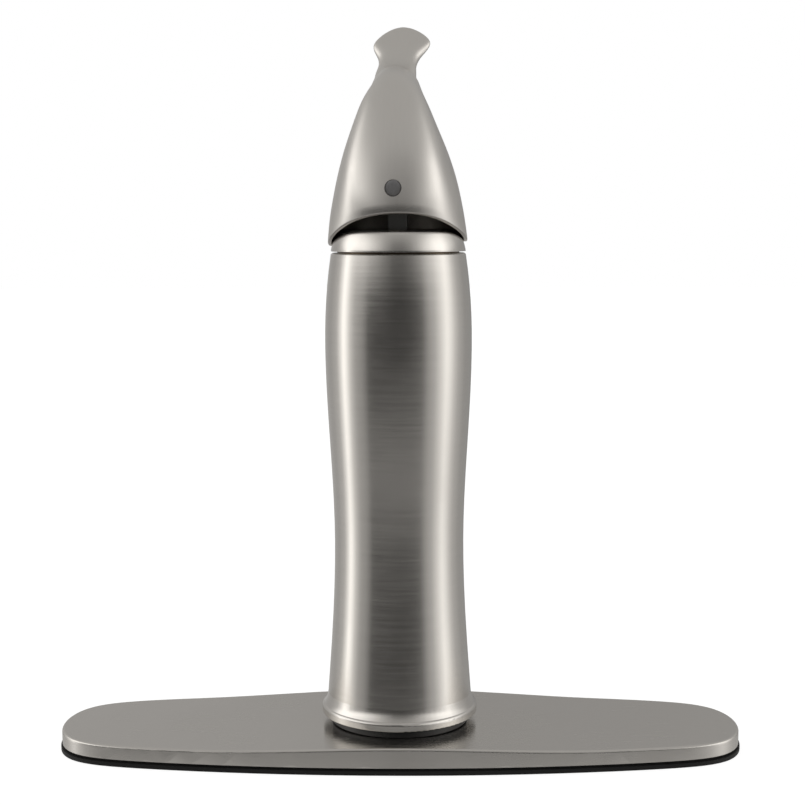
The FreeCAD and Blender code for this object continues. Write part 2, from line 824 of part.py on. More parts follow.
def moving_disc():
    """Upper ceramic disc, with the mixing pocket on its lower face."""
    disc = cylinder("upper_ceramic", "Size.moving_disc_radius", "Size.disc_height", z=FIXED_TOP)
    channel = block("mixing_channel", "2 * Size.port_radius - 0.6", "7", "3",
                    y="-Size.moving_disc_radius + 4.5", z=f"{FIXED_TOP} - 1")
    bridge = block("mixing_bridge", "17", "3.6", "3", y="-7.4", z=f"{FIXED_TOP} - 1")
    turned_with_handle(cut("upper_cut", disc, channel, bridge), "moving_disc")


def disc_carrier():
    """Slide that carries the upper disc and takes the stem's ball."""
    plate = cylinder("carrier_plate", "Size.moving_disc_radius - 0.6", "3", z=MOVING_TOP)
    upper = block("carrier_block", "Size.carrier_width", "Size.carrier_width",
                  "Size.carrier_height", z=MOVING_TOP)
    solid = fuse("carrier_solid", plate, upper)
    socket = cylinder("carrier_socket", "Size.ball_radius + 0.3", "20",
                      z="Size.pivot_height - Size.ball_drop - Size.ball_radius - 0.3")
    turned_with_handle(cut("carrier", solid, socket), "disc_carrier")


def cartridge_housing():
    """Cup that holds the discs and lets the turret's neck out of its lid."""
    height = f"Size.housing_top - {SEAT_TOP}"
    inner = "Size.cartridge_radius - Size.housing_wall"
    cup = turned("housing", [
        (inner, "0"),
        ("Size.cartridge_radius", "0"),
        ("Size.cartridge_radius", height),
        ("Size.lid_bore_radius", height),
        ("Size.lid_bore_radius", f"{height} - Size.lid_thickness"),
        (inner, f"{height} - Size.lid_thickness"),
    ])
    keep(place(cup, z=SEAT_TOP), "cartridge_housing")


TURRET_BOTTOM = f"({MOVING_TOP} + Size.carrier_height + Size.rim_gap)"
TURRET_PLATE = f"(Size.housing_top - Size.lid_thickness - 0.1 - {TURRET_BOTTOM})"


def turret():
    """Turning guide of the stem: a plate under the lid, a neck and two cheeks."""
    plate = cylinder("turret_plate", "Size.turret_radius", TURRET_PLATE, z=TURRET_BOTTOM)
    neck = cylinder("turret_neck", "Size.turret_neck_radius", f"Size.turret_top - {TURRET_BOTTOM}",
                    z=TURRET_BOTTOM)
    parts = [plate, neck]
    cheek_drop = "(Size.carrier_height - 4)"
    for i, side in enumerate(("-1", "1")):
        middle = f"{side} * (Size.carrier_width / 2 + Size.rim_gap + 1.4)"
        parts.append(block(f"cheek_{i}", "2.8", "14", f"{cheek_drop} + 1", x=middle,
                           z=f"{TURRET_BOTTOM} - {cheek_drop}"))
    solid = fuse("turret_solid", *parts)
    slot = block("turret_slot", "Size.stem_width + 0.6", "18", "40", z=f"{TURRET_BOTTOM} - 1")
    bore = cross_pin("turret_bore", "Size.pin_radius + 0.01", "40", z="Size.pivot_height")
    turned_with_handle(cut("turret_cut", solid, slot, bore), "turret")


def pivot_pin():
    """Steel pin that the stem rocks on."""
    pin = cross_pin("rocking_pin", "Size.pin_radius", "2 * Size.turret_neck_radius - 2",
                    z="Size.pivot_height")
    turned_with_handle(pin, "pivot_pin")


def lever_stem():
    """Steel stem: ball, thin neck, pivot boss and square upper end."""
    ball = doc.addObject("Part::Sphere", "stem_ball")
    bind(ball, Radius="Size.ball_radius")
    place(ball, z="Size.pivot_height - Size.ball_drop")
    rod = cylinder("stem_rod", "0.7 * Size.ball_radius", "Size.ball_drop",
                   z="Size.pivot_height - Size.ball_drop")
    boss = cross_pin("stem_boss", "3 * Size.pin_radius", "Size.stem_width", z="Size.pivot_height")
    bar = block("stem_bar", "Size.stem_width", "Size.stem_width",
                "Size.stem_top - Size.pivot_height", z="Size.pivot_height")
    solid = fuse("stem_solid", ball, rod, boss, bar)
    bore = cross_pin("stem_bore", "Size.pin_radius + Size.running_clearance", "20",
                     z="Size.pivot_height")
    turned_with_handle(cut("stem", solid, bore), "lever_stem")


def turned_with_handle(thing, label):
    """Keep a sub-part that turns with the handle, set at the handle's angle."""
    holder = doc.addObject("Part::Compound", label + "_set")
    holder.Links = [thing]
    holder.Placement.Rotation = Rotation(Vector(0, 0, -1), 1)
    bind(holder, Placement__Rotation__Angle="Size.handle_turn")
    return keep(holder, label)


def cartridge_nut():
    """Brass nut that holds the cartridge down and carries the cap."""
    seat = "Size.column_top - Size.housing_top"
    nut = turned("gland", [
        ("Size.lid_bore_radius + 1", "0"),
        ("Size.nut_thread_radius - Size.thread_clearance", "0"),
        ("Size.nut_thread_radius - Size.thread_clearance", seat),
        ("Size.nut_flange_radius", seat),
        ("Size.nut_flange_radius", f"{seat} + Size.cap_gap"),
        ("Size.nut_boss_radius", f"{seat} + Size.cap_gap"),
        ("Size.nut_boss_radius", f"{seat} + Size.cap_gap + Size.nut_boss_height"),
        ("Size.lid_bore_radius + 1", f"{seat} + Size.cap_gap + Size.nut_boss_height"),
    ])
    keep(place(nut, z="Size.housing_top"), "cartridge_nut")


def trim_cap():
    """Dome that hides the nut; its sphere is centred on the lever's pivot."""
    sphere = doc.addObject("Part::Sphere", "cap_sphere")
    bind(sphere, Radius="Size.cap_sphere_radius")
    place(sphere, z="Size.pivot_height")
    bottom = "(Size.column_top + Size.cap_gap)"
    slab = cylinder("cap_slab", "Size.cap_sphere_radius + 5", f"Size.cap_top - {bottom}", z=bottom)
    dome = doc.addObject("Part::Common", "cap_dome")
    dome.Base = sphere
    dome.Tool = slab
    inner_sphere = doc.addObject("Part::Sphere", "cap_inner_sphere")
    bind(inner_sphere, Radius="Size.cap_sphere_radius - Size.cap_wall")
    place(inner_sphere, z="Size.pivot_height")
    inner_slab = cylinder("cap_inner_slab", "Size.cap_sphere_radius + 5",
                          f"Size.cap_top - Size.cap_wall - {bottom} - Size.cap_base_height",
                          z=f"{bottom} + Size.cap_base_height")
    hollow = doc.addObject("Part::Common", "cap_hollow")
    hollow.Base = inner_sphere
    hollow.Tool = inner_slab
    thread = cylinder("cap_thread", "Size.nut_boss_radius + Size.thread_clearance",
                      "Size.cap_base_height + 2", z=f"{bottom} - 1")
    mouth = cylinder("cap_mouth", "Size.cap_bore_radius", "20", z=f"{bottom} + 1")
    keep(cut("cap", dome, hollow, thread, mouth), "trim_cap")


# Lever handle


# Form of the lever, one row for each of its main stations: the station's share
# of the length, then for its rear and its front point the share of the tip's
# reach and of the rise, then half its width as a share of the rim's radius, and
# how far its widest place lies towards the front.
LEVER_FORM = (
    (0.00, 0.0000, 0.0000, 0.0000, 0.0000, 1.000, 0.00),
    (0.16, -0.0594, 0.2204, 0.0720, 0.1588, 0.925, 0.08),
    (0.32, -0.0463, 0.4441, 0.1751, 0.3266, 0.772, 0.20),
    (0.46, 0.0468, 0.6230, 0.3009, 0.4720, 0.591, 0.28),
    (0.57, 0.1878, 0.7271, 0.4198, 0.5783, 0.438, 0.28),
    (0.68, 0.4176, 0.7729, 0.5467, 0.6655, 0.346, 0.20),
    (0.79, 0.6800, 0.7987, 0.6762, 0.7360, 0.301, 0.05),
    (0.89, 0.8587, 0.8702, 0.8242, 0.8199, 0.338, 0.00),
    (1.00, 0.9566, 1.0000, 0.9905, 0.9776, 0.783, 0.00),
)
TIP_START = 0.86
LEVER_SHARES = (
    0.0, 0.05, 0.1, 0.16, 0.22, 0.28, 0.34, 0.4, 0.46, 0.52, 0.57, 0.62, 0.68, 0.74, 0.79, 0.83,
    0.86, 0.89, 0.92, 0.945, 0.965, 0.98, 0.99, 0.9965, 0.9995,
)
HOLLOW_STATIONS = 9


def lever_form(share):
    """The form's row at any share of the lever's length, by smooth steps between its rows."""
    places = [row[0] for row in LEVER_FORM]
    after = next(i for i, place in enumerate(places) if place >= share or i == len(places) - 1)
    after = max(after, 1)
    before = after - 1
    gap = places[after] - places[before]
    u = (share - places[before]) / gap
    row = []
    for column in range(1, len(LEVER_FORM[0])):
        start = LEVER_FORM[before][column]
        end = LEVER_FORM[after][column]
        row.append(
            (2 * u ** 3 - 3 * u ** 2 + 1) * start
            + (u ** 3 - 2 * u ** 2 + u) * gap * form_slope(before, column)
            + (3 * u ** 2 - 2 * u ** 3) * end
            + (u ** 3 - u ** 2) * gap * form_slope(after, column)
        )
    return row


def form_slope(index, column):
    """Slope of one column of the form at one of its rows."""
    last = len(LEVER_FORM) - 1
    low = max(index - 1, 0)
    high = min(index + 1, last)
    here = LEVER_FORM[index]
    if low == index or high == index:
        other = LEVER_FORM[low if high == index else high]
        return (other[column] - here[column]) / (other[0] - here[0])
    before = here[0] - LEVER_FORM[low][0]
    after = LEVER_FORM[high][0] - here[0]
    slope_before = (here[column] - LEVER_FORM[low][column]) / before
    slope_after = (LEVER_FORM[high][column] - here[column]) / after
    return (slope_after * before + slope_before * after) / (before + after)


def lever_section(share):
    """Rear point, front point, half width and forward shift of one section."""
    rim = size("handle_rim_radius")
    low = size("handle_rim_height") - LEVER_SKIRT
    rise = size("tip_height") - low
    reach = size("tip_reach")
    rear_reach, rear_rise, front_reach, front_rise, width, shift = lever_form(share)
    rear = Vector(0, rear_reach * reach - (1 - rear_rise) * rim, low + rear_rise * rise)
    front = Vector(0, front_reach * reach + (1 - front_rise) * rim, low + front_rise * rise)
    into_tip = max(0.0, (share - TIP_START) / (1 - TIP_START))
    half_width = width * rim * math.sqrt(1 - into_tip ** 2)
    middle = (rear + front) * 0.5
    half = (rear - front) * (0.5 * math.sqrt(1 - 0.98 * into_tip ** 3.5))
    return middle + half, middle - half, half_width, shift


# The loft starts this far below the rim, which is then cut to its arch.
LEVER_SKIRT = 2.5


def section_wire(rear, front, half_width, shift, inset):
    """A closed oval through two points of the middle plane."""
    middle = (rear + front) * 0.5
    half = (rear - front) * 0.5
    long_half = half.Length - inset
    direction = half.normalize()
    width = half_width - inset
    steps = 20
    angles = [2 * math.pi * step / steps for step in range(steps)]
    widest = max(math.sin(angle) * (1 - shift * math.cos(angle)) for angle in angles)
    points = []
    for angle in angles:
        across = width * math.sin(angle) * (1 - shift * math.cos(angle)) / widest
        points.append(middle + direction * (long_half * math.cos(angle)) + Vector(across, 0, 0))
    curve = Part.BSplineCurve()
    parameters = [float(step) for step in range(steps + 1)]
    curve.interpolate(Points=points, PeriodicFlag=True, Parameters=parameters)
    return Part.Wire(curve.toShape())


def lever_loft(inset, shares):
    """A solid through oval sections, set in by the same distance all round."""
    wires = [section_wire(*lever_section(share), inset) for share in shares]
    return Part.makeLoft(wires, True, False)


def handle_rim_cutter():
    """Everything under the rim: level in front, rising towards the rear."""
    front = size("handle_rim_height")
    rim = size("handle_rim_radius")
    reach = 1.5 * rim
    climb = size("rear_rim_rise") * reach / rim
    corners = [
        Vector(0, reach, front - reach),
        Vector(0, reach, front),
        Vector(0, 0, front),
        Vector(0, -reach, front + climb),
        Vector(0, -reach, front - reach),
    ]
    face = Part.Face(Part.makePolygon(corners + corners[:1]))
    face.translate(Vector(-reach, 0, 0))
    cutter = face.extrude(Vector(2 * reach, 0, 0))
    ridge = [e for e in cutter.Edges if is_rim_ridge(e, front)]
    return cutter.makeFillet(size("rim_blend_radius"), ridge)


def is_rim_ridge(edge, front):
    """True for the cutter's edge between its level and its rising part."""
    box = edge.BoundBox
    return box.XLength > 10 and abs(box.YMax) < 1 and abs(box.ZMax - front) < 1


def handle():
    """Hollow cast lever: dome over the cap, narrow neck and upturned flared tip."""
    wall = size("handle_wall")
    outer = lever_loft(0, LEVER_SHARES)
    hollow = lever_loft(wall, LEVER_SHARES[:HOLLOW_STATIONS])
    rim = size("handle_rim_radius")
    boss_bottom = size("stem_boss_bottom")
    boss_length = size("tip_height") - boss_bottom
    boss = Part.makeCylinder(size("stem_boss_radius"), boss_length, Vector(0, 0, boss_bottom))
    screw_start = Vector(0, 0, size("screw_height"))
    backwards = Vector(0, -1, 0)
    screw_boss = Part.makeCylinder(size("screw_boss_radius"), rim, screw_start, backwards)
    shell = outer.cut(hollow.cut(boss.fuse(screw_boss)))
    square = size("stem_width") + size("stem_fit")
    socket_bottom = boss_bottom - square
    socket_length = size("stem_top") + size("stem_fit") - socket_bottom
    stem_hole = Part.makeBox(square, square, socket_length,
                             Vector(-square / 2, -square / 2, socket_bottom))
    screw_hole = Part.makeCylinder(size("screw_radius") + size("screw_fit"), rim, screw_start,
                                   backwards)
    plug_start = screw_start - Vector(0, size("plug_depth"), 0)
    plug_hole = Part.makeCylinder(size("plug_radius") + size("screw_fit"), rim, plug_start,
                                  backwards)
    shell = shell.cut(stem_hole.fuse([screw_hole, plug_hole])).cut(handle_rim_cutter())
    casting = freeform("lever", shell)
    turned_with_handle(casting, "handle")


def set_screw():
    """Socket screw that clamps the handle on the stem."""
    screw = cylinder("screw", "Size.screw_radius", "Size.screw_length")
    screw.Placement.Rotation = Rotation(Vector(1, 0, 0), 90)
    place(screw, y="-Size.stem_width / 2", z="Size.screw_height")
    socket = doc.addObject("Part::Prism", "screw_socket")
    socket.Polygon = 6
    socket.Placement.Rotation = Rotation(Vector(1, 0, 0), 90)
    bind(socket, Circumradius="Size.screw_radius * 0.55", Height="4")
    place(socket, y="2.5 - Size.stem_width / 2 - Size.screw_length", z="Size.screw_height")
    turned_with_handle(cut("screw_cut", screw, socket), "set_screw")


def screw_plug():
    """Grey plug over the screw's hole, level with the handle's rear."""
    plug = cylinder("plug", "Size.plug_radius", "Size.plug_length")
    plug.Placement.Rotation = Rotation(Vector(1, 0, 0), 90)
    place(plug, y="Size.plug_length + 3.1 - Size.handle_rim_radius", z="Size.screw_height")
    turned_with_handle(plug, "screw_plug")


# Wand


def wand_frame(bend):
    """Point and direction on the wand's middle line after a bend in degrees."""
    start = size("branch_length") + size("rim_gap") + size("wand_straight")
    radius = size("wand_bend_radius")
    angle = math.radians(size("spout_angle"))
    centre = spout_point(start) + Vector(0, math.sin(angle), -math.cos(angle)) * radius
    now = angle - math.radians(bend)
    point = centre + Vector(0, -math.sin(now), math.cos(now)) * radius
    return point, Vector(0, math.cos(now), math.sin(now))


def wand_sections():
    """Middle points, directions and radii of the wand from its root to its face."""
    root = size("branch_length") + size("rim_gap")
    straight = size("wand_straight")
    grip = size("grip_radius")
    head = size("head_radius")
    axis = spout_axis()
    sections = []
    for share in (0.0, 0.2, 0.4, 0.6, 0.8, 1.0):
        radius = grip + (size("wand_root_radius") - grip) * (1 - share) ** 2
        sections.append((spout_point(root + share * straight), axis, radius))
    bend = size("wand_bend_angle")
    for step in range(1, 11):
        point, direction = wand_frame(bend * step / 10)
        sections.append((point, direction, grip + (head - grip) * (step / 10) ** 1.3))
    point, direction = wand_frame(bend)
    sections.append((point + direction * size("head_length"), direction, head - 0.3))
    return sections


def wand_loft(inset, start, extra):
    """A solid through round sections along the wand."""
    sections = wand_sections()
    point, direction, radius = sections[0]
    sections[0] = (point + direction * start, direction, radius)
    point, direction, radius = sections[-1]
    sections[-1] = (point + direction * extra, direction, radius)
    wires = [
        Part.Wire(Part.makeCircle(radius - inset, point, direction))
        for point, direction, radius in sections
    ]
    return Part.makeLoft(wires, True, False)


def rocker_frame():
    """Place of the rocker on the head's outer side: middle, tangent and outward."""
    share = size("rocker_place") / size("wand_bend_angle")
    point, direction = wand_frame(size("rocker_place"))
    outward = Vector(0, -direction.z, direction.y)
    grip = size("grip_radius")
    radius = grip + (size("head_radius") - grip) * share ** 1.3
    return point + outward * radius, direction, outward


def rocker_block(grow, depth, proud):
    """A rounded block at the rocker's place."""
    middle, direction, outward = rocker_frame()
    length = size("rocker_length") + 2 * grow
    width = size("rocker_width") + 2 * grow
    shape = Part.makeBox(width, length, depth + proud, Vector(-width / 2, -length / 2, -depth))
    upright = [e for e in shape.Edges if e.BoundBox.ZLength > 0.9 * (depth + proud)]
    shape = shape.makeFillet(width / 2 - 0.5, upright)
    shape.Placement = Placement(middle, Rotation(Vector(1, 0, 0), direction, outward, "ZYX"))
    return shape


def rocker_pin_shape(radius, half_length):
    """A pin across the wand under the rocker's middle."""
    middle, _, outward = rocker_frame()
    start = middle - outward * 3.0 - Vector(half_length, 0, 0)
    return Part.makeCylinder(radius, 2 * half_length, start, Vector(1, 0, 0))


def wand_shell():
    """Moulded outer shell of the wand, open at both ends, with a window for the rocker."""
    wall = size("wand_wall")
    outer = wand_loft(0, 0, 0)
    inner = wand_loft(wall, -2, 2)
    window = rocker_block(size("rocker_gap"), 9, 4)
    pin = rocker_pin_shape(size("rocker_pin_radius") + 0.02, size("rocker_width") / 2 + 2.2)
    keep(freeform("wand", outer.cut(inner).cut(window).cut(pin)), "wand_shell")


def wand_tail():
    """Stepped tail that slides into the spout and plugs into the shell."""
    plug = "Size.wand_root_radius - Size.wand_wall - Size.running_clearance"
    tail = turned("tail", [
        ("Size.tail_bore_radius", "0"),
        ("Size.tail_radius - 1.2", "0"),
        ("Size.tail_radius", "1.2"),
        ("Size.tail_radius", "Size.tail_length"),
        ("Size.wand_root_radius - 0.6", "Size.tail_length"),
        ("Size.wand_root_radius - 0.6", "Size.tail_length + Size.rim_gap"),
        (f"{plug} - 0.3", "Size.tail_length + Size.rim_gap"),
        (f"{plug} - 0.6", "Size.tail_length + 8"),
        ("Size.tail_bore_radius", "Size.tail_length + 8"),
    ])
    keep(along_spout(tail, "Size.branch_length - Size.tail_length"), "wand_tail")


def hose_nut():
    """Swivelling nut that screws the hose on the wand's tail."""
    nut = turned("hose_end", [
        ("Size.hose_radius + 0.05", "0"),
        ("Size.hose_nut_radius - 1", "0"),
        ("Size.hose_nut_radius", "3"),
        ("Size.hose_nut_radius", "Size.hose_nut_length"),
        ("2.5", "Size.hose_nut_length"),
        ("2.5", "6"),
        ("Size.hose_radius + 0.05", "6"),
    ])
    keep(along_spout(nut, "Size.branch_length - Size.tail_length - Size.hose_nut_length"),
         "hose_nut")


def check_valve():
    """Cartridge in the tail's bore that stops back flow."""
    valve = turned("valve", [
        ("2", "0"),
        ("Size.tail_bore_radius - 0.05", "0"),
        ("Size.tail_bore_radius - 0.05", "12"),
        ("2", "12"),
    ])
    keep(along_spout(valve, "Size.branch_length - Size.tail_length + 4"), "check_valve")


def waterway():
    """Inner tube that leads water from the tail to the spray valve."""
    start = spout_point(size("branch_length") + 8)
    straight = size("branch_length") + size("rim_gap") + size("wand_straight")
    middle, _ = wand_frame(size("wand_bend_angle") / 2)
    finish, direction = wand_frame(size("wand_bend_angle"))
    bend_start = spout_point(straight)
    path = Part.Wire([
        Part.makeLine(start, bend_start),
        Part.Arc(bend_start, middle, finish).toShape(),
    ])
    outside, inside = [
        path.makePipeShell([Part.Wire(Part.makeCircle(radius, start, spout_axis()))], True, False)
        for radius in (size("waterway_radius"), size("waterway_radius") - 1.8)
    ]
    back = size("valve_body_height") + size("face_seat_depth") - size("head_length")
    trim = Part.makeCylinder(20, back + 20, finish - direction * back, direction)
    keep(freeform("inner_tube", outside.cut(inside).cut(trim)), "waterway")


def on_head(thing, distance):
    """Stand a thing on the head's axis, at a distance from the end of the bend."""
    last = "(Size.spout_angle - Size.wand_bend_angle)"
    run = "(Size.branch_length + Size.rim_gap + Size.wand_straight)"
    turn_about_x(thing, f"90 - {last}")
    return place(
        thing,
        y=f"{run} * cos(Size.spout_angle) + ({distance}) * cos{last}"
          f" + Size.wand_bend_radius * (sin(Size.spout_angle) - sin{last})",
        z=f"Size.spout_root_height + {run} * sin(Size.spout_angle) + ({distance}) * sin{last}"
          f" + Size.wand_bend_radius * (cos{last} - cos(Size.spout_angle))",
    )


FACE_BACK = "(Size.head_length - Size.face_seat_depth)"


def spray_valve():
    """Block behind the face that sends water to the aerator or to the nozzles."""
    block_body = turned("diverter", [
        ("Size.waterway_radius - 1.8", "0"),
        ("Size.valve_body_radius - 3", "0"),
        ("Size.valve_body_radius", "3"),
        ("Size.valve_body_radius", "Size.valve_body_height"),
        ("Size.aerator_radius", "Size.valve_body_height"),
        ("Size.aerator_radius", "Size.valve_body_height - 5"),
        ("Size.waterway_radius - 1.8", "Size.valve_body_height - 8"),
    ])
    keep(on_head(block_body, f"{FACE_BACK} - Size.valve_body_height"), "spray_valve")


def spray_face():
    """Face plate with a ring of nozzles about the aerator's seat."""
    plate = turned("face", [
        ("Size.aerator_radius + 0.1", "0"),
        ("Size.face_radius", "0"),
        ("Size.face_radius", "Size.face_thickness - 1"),
        ("Size.face_radius - 1", "Size.face_thickness"),
        ("Size.aerator_radius + 0.1", "Size.face_thickness"),
    ])
    pocket = plate.newObject("PartDesign::Pocket", "nozzle_bore")
    sketch = plate.newObject("Sketcher::SketchObject", "nozzle_circle")
    plane = next(f for f in plate.Origin.OriginFeatures if f.Role == "XY_Plane")
    sketch.AttachmentSupport = [(plane, "")]
    sketch.MapMode = "FlatFace"
    circle = Part.Circle(Vector(size("nozzle_circle"), 0, 0), Vector(0, 0, 1), 1)
    sketch.addGeometry(circle, False)
    radius = sketch.addConstraint(Sketcher.Constraint("Radius", 0, size("nozzle_radius")))
    sketch.setExpression(f"Constraints[{radius}]", "Size.nozzle_radius")
    reach = sketch.addConstraint(
        Sketcher.Constraint("DistanceX", -1, 1, 0, 3, size("nozzle_circle")))
    sketch.setExpression(f"Constraints[{reach}]", "Size.nozzle_circle")
    sketch.addConstraint(Sketcher.Constraint("PointOnObject", 0, 3, -1))
    pocket.Profile = sketch
    pocket.Reversed = True
    pocket.Type = "ThroughAll"
    ring = plate.newObject("PartDesign::PolarPattern", "nozzle_ring")
    ring.Originals = [pocket]
    ring.Axis = (sketch, ["N_Axis"])
    ring.Angle = 360
    bind(ring, Occurrences="Size.nozzle_count")
    plate.Tip = ring
    keep(on_head(plate, FACE_BACK), "spray_face")


def aerator():
    """Screw-in aerator in the middle of the face."""
    insert = turned("mesh_insert", [
        ("2.5", "0"),
        ("Size.aerator_radius - 0.1", "0"),
        ("Size.aerator_radius - 0.1", "Size.face_thickness + 0.4"),
        ("Size.aerator_radius - 1.4", "Size.face_thickness + 0.4"),
        ("Size.aerator_radius - 1.4", "Size.face_thickness - 1.2"),
        ("2.5", "Size.face_thickness - 1.2"),
    ])
    keep(on_head(insert, FACE_BACK), "aerator")


def face_ring():
    """Bright ring that holds the face in the shell's mouth."""
    outer = "(Size.head_radius - 0.3)"
    ring = turned("mouth_ring", [
        ("Size.face_radius + 0.1", "0"),
        (outer, "0"),
        (outer, "Size.face_ring_height - 0.6"),
        (f"{outer} - 0.6", "Size.face_ring_height"),
        ("Size.face_radius + 0.1", "Size.face_ring_height"),
    ])
    keep(on_head(ring, "Size.head_length"), "face_ring")


def spray_rocker():
    """Rocking button that follows the head's curve and stands a little proud."""
    button = rocker_block(0, size("rocker_depth"), 4)
    button = button.common(wand_loft(-size("rocker_proud"), 0, 0))
    bore = rocker_pin_shape(size("rocker_pin_radius") + 0.05, size("rocker_width"))
    keep(freeform("rocker", button.cut(bore)), "spray_rocker")


def rocker_pin():
    """Steel pin under the rocker, with both ends in the shell's wall."""
    half_length = size("rocker_width") / 2 + 2.1
    pin = rocker_pin_shape(size("rocker_pin_radius"), half_length)
    keep(freeform("rocker_axle", pin), "rocker_pin")


def check_document():
    """Stop if any object failed or any sub-part has no valid solid."""
    doc.recompute()
    for thing in doc.Objects:
        if "Invalid" in thing.State or "Error" in thing.State:
            raise RuntimeError(f"{thing.Name} failed: {thing.State}")
    for node in nodes:
        shape = node.Shape
        if shape.isNull() or not shape.isValid() or not shape.Solids:
            raise RuntimeError(f"{node.Label} has no valid solid")


def main():
    """Build every sub-part and write each one's solid to a file of its own."""
    fill_sheet()
    deck_plate()
    deck_gasket()
    base_ring()
    mounting_shank()
    snap_ring()
    rubber_bottom = "-Size.deck_thickness - Size.rubber_thickness"
    washer("rubber", "rubber_washer", "Size.rubber_thickness", rubber_bottom)
    washer("steel", "clamp_washer", "Size.steel_thickness", STEEL_BOTTOM)
    mounting_nut()
    spout_body()
    swivel_bush()
    dock_bush()
    for (x, y), side in zip(PORTS, ("hot", "cold", "outlet")):
        water_tube(side, f"{side}_tube", x, y)
        tube_nipple(side + "_end", f"{side}_nipple", x, y)
    pull_hose()
    hose_end_fitting()
    cartridge_base()
    port_seals()
    fixed_disc()
    moving_disc()
    disc_carrier()
    cartridge_housing()
    turret()
    pivot_pin()
    lever_stem()
    cartridge_nut()
    trim_cap()
    handle()
    set_screw()
    screw_plug()
    wand_shell()
    wand_tail()
    hose_nut()
    check_valve()
    waterway()
    spray_valve()
    spray_face()
    aerator()
    face_ring()
    spray_rocker()
    rocker_pin()
    check_document()
    os.makedirs("parts", exist_ok=True)
    for node in nodes:
        node.Shape.exportStep(f"parts/{node.Label}.step")
        print(f"{node.Label}: {len(node.Shape.Solids)} solid, {node.Shape.Volume:.1f} mm3")


main()
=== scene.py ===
"""Looks of the pull-out kitchen faucet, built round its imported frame."""

import json
import logging
import math
from contextlib import contextmanager
from dataclasses import dataclass
from enum import Enum
from typing import ClassVar, Iterator, Optional, Sequence

import bmesh
import bpy
from mathutils import Matrix, Vector

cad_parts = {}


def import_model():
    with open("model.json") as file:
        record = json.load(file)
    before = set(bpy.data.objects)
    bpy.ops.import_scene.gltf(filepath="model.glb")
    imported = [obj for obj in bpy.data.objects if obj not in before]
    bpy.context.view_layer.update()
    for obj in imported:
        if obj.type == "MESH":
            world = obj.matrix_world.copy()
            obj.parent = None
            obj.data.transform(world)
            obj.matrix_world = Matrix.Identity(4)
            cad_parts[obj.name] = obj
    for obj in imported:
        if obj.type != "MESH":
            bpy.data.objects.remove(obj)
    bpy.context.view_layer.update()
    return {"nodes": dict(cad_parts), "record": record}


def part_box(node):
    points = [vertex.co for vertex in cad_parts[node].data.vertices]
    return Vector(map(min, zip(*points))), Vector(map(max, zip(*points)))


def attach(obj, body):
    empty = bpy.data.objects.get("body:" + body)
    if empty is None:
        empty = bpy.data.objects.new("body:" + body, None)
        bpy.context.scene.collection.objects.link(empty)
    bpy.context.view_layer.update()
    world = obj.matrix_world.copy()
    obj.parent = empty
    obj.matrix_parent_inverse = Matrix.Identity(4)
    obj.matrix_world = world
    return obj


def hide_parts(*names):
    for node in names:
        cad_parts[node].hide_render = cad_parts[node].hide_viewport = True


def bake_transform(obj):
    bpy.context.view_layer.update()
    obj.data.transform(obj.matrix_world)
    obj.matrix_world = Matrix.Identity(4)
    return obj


MM = 0.001
DEGREE = math.pi / 180
log = logging.getLogger("faucet")

Point = tuple[float, float]
Colour = tuple[float, float, float]
Piece = bpy.types.Object
Socket = bpy.types.NodeSocket
Surface = tuple[dict, Socket]


class Nodes:
    """Short ways to add and join shader nodes."""

    def __init__(self, owner: bpy.types.ID) -> None:
        """Start with the emptied node tree of a world or a material."""
        owner.use_nodes = True
        self.tree = owner.node_tree
        self.tree.nodes.clear()

    def new(self, kind: str, values: Optional[dict] = None, **settings: object) -> bpy.types.Node:
        """Add a node.

        Args:
            kind: Blender's name of the shader node.
            values: Input name or index to a socket or a plain value.
            settings: Properties of the node itself.

        Returns:
            The new node.
        """
        node = self.tree.nodes.new("ShaderNode" + kind)
        for name, value in settings.items():
            setattr(node, name, value)
        for name, value in (values or {}).items():
            if isinstance(value, Socket):
                self.tree.links.new(value, node.inputs[name])
            else:
                node.inputs[name].default_value = value
        return node

    def math(self, operation: str, *values: object) -> Socket:
        """Add a Math node and return its result."""
        return self.new("Math", dict(enumerate(values)), operation=operation).outputs[0]

    def vector(self, operation: str, *values: object) -> Socket:
        """Add a Vector Math node and return its result."""
        node = self.new("VectorMath", dict(enumerate(values)), operation=operation)
        return node.outputs["Value" if operation == "DOT_PRODUCT" else "Vector"]

    def remap(self, value: object, low: float, high: float, to_low: float = 0.0,
              to_high: float = 1.0) -> Socket:
        """Stretch a range of values to another one, with smooth ends."""
        node = self.new("MapRange", {
            "Value": value, "From Min": low, "From Max": high,
            "To Min": to_low, "To Max": to_high}, interpolation_type="SMOOTHSTEP")
        return node.outputs["Result"]

    def blend(self, share: object, first: object, second: object) -> Socket:
        """Mix two plain numbers."""
        return self.new("Mix", {0: share, 2: first, 3: second}, data_type="FLOAT").outputs[0]

    def noise(self, vector: Socket, scale: float, detail: float, rough: float) -> Socket:
        """Add a Noise Texture and return its factor."""
        return self.new("TexNoise", {
            "Vector": vector, "Scale": scale, "Detail": detail, "Roughness": rough}).outputs["Fac"]

    def along(self, coords: Socket, way: Vector, start: Vector) -> Socket:
        """Distance along a direction from a start."""
        return self.math("SUBTRACT", self.vector("DOT_PRODUCT", coords, tuple(way)),
                         start.dot(way))


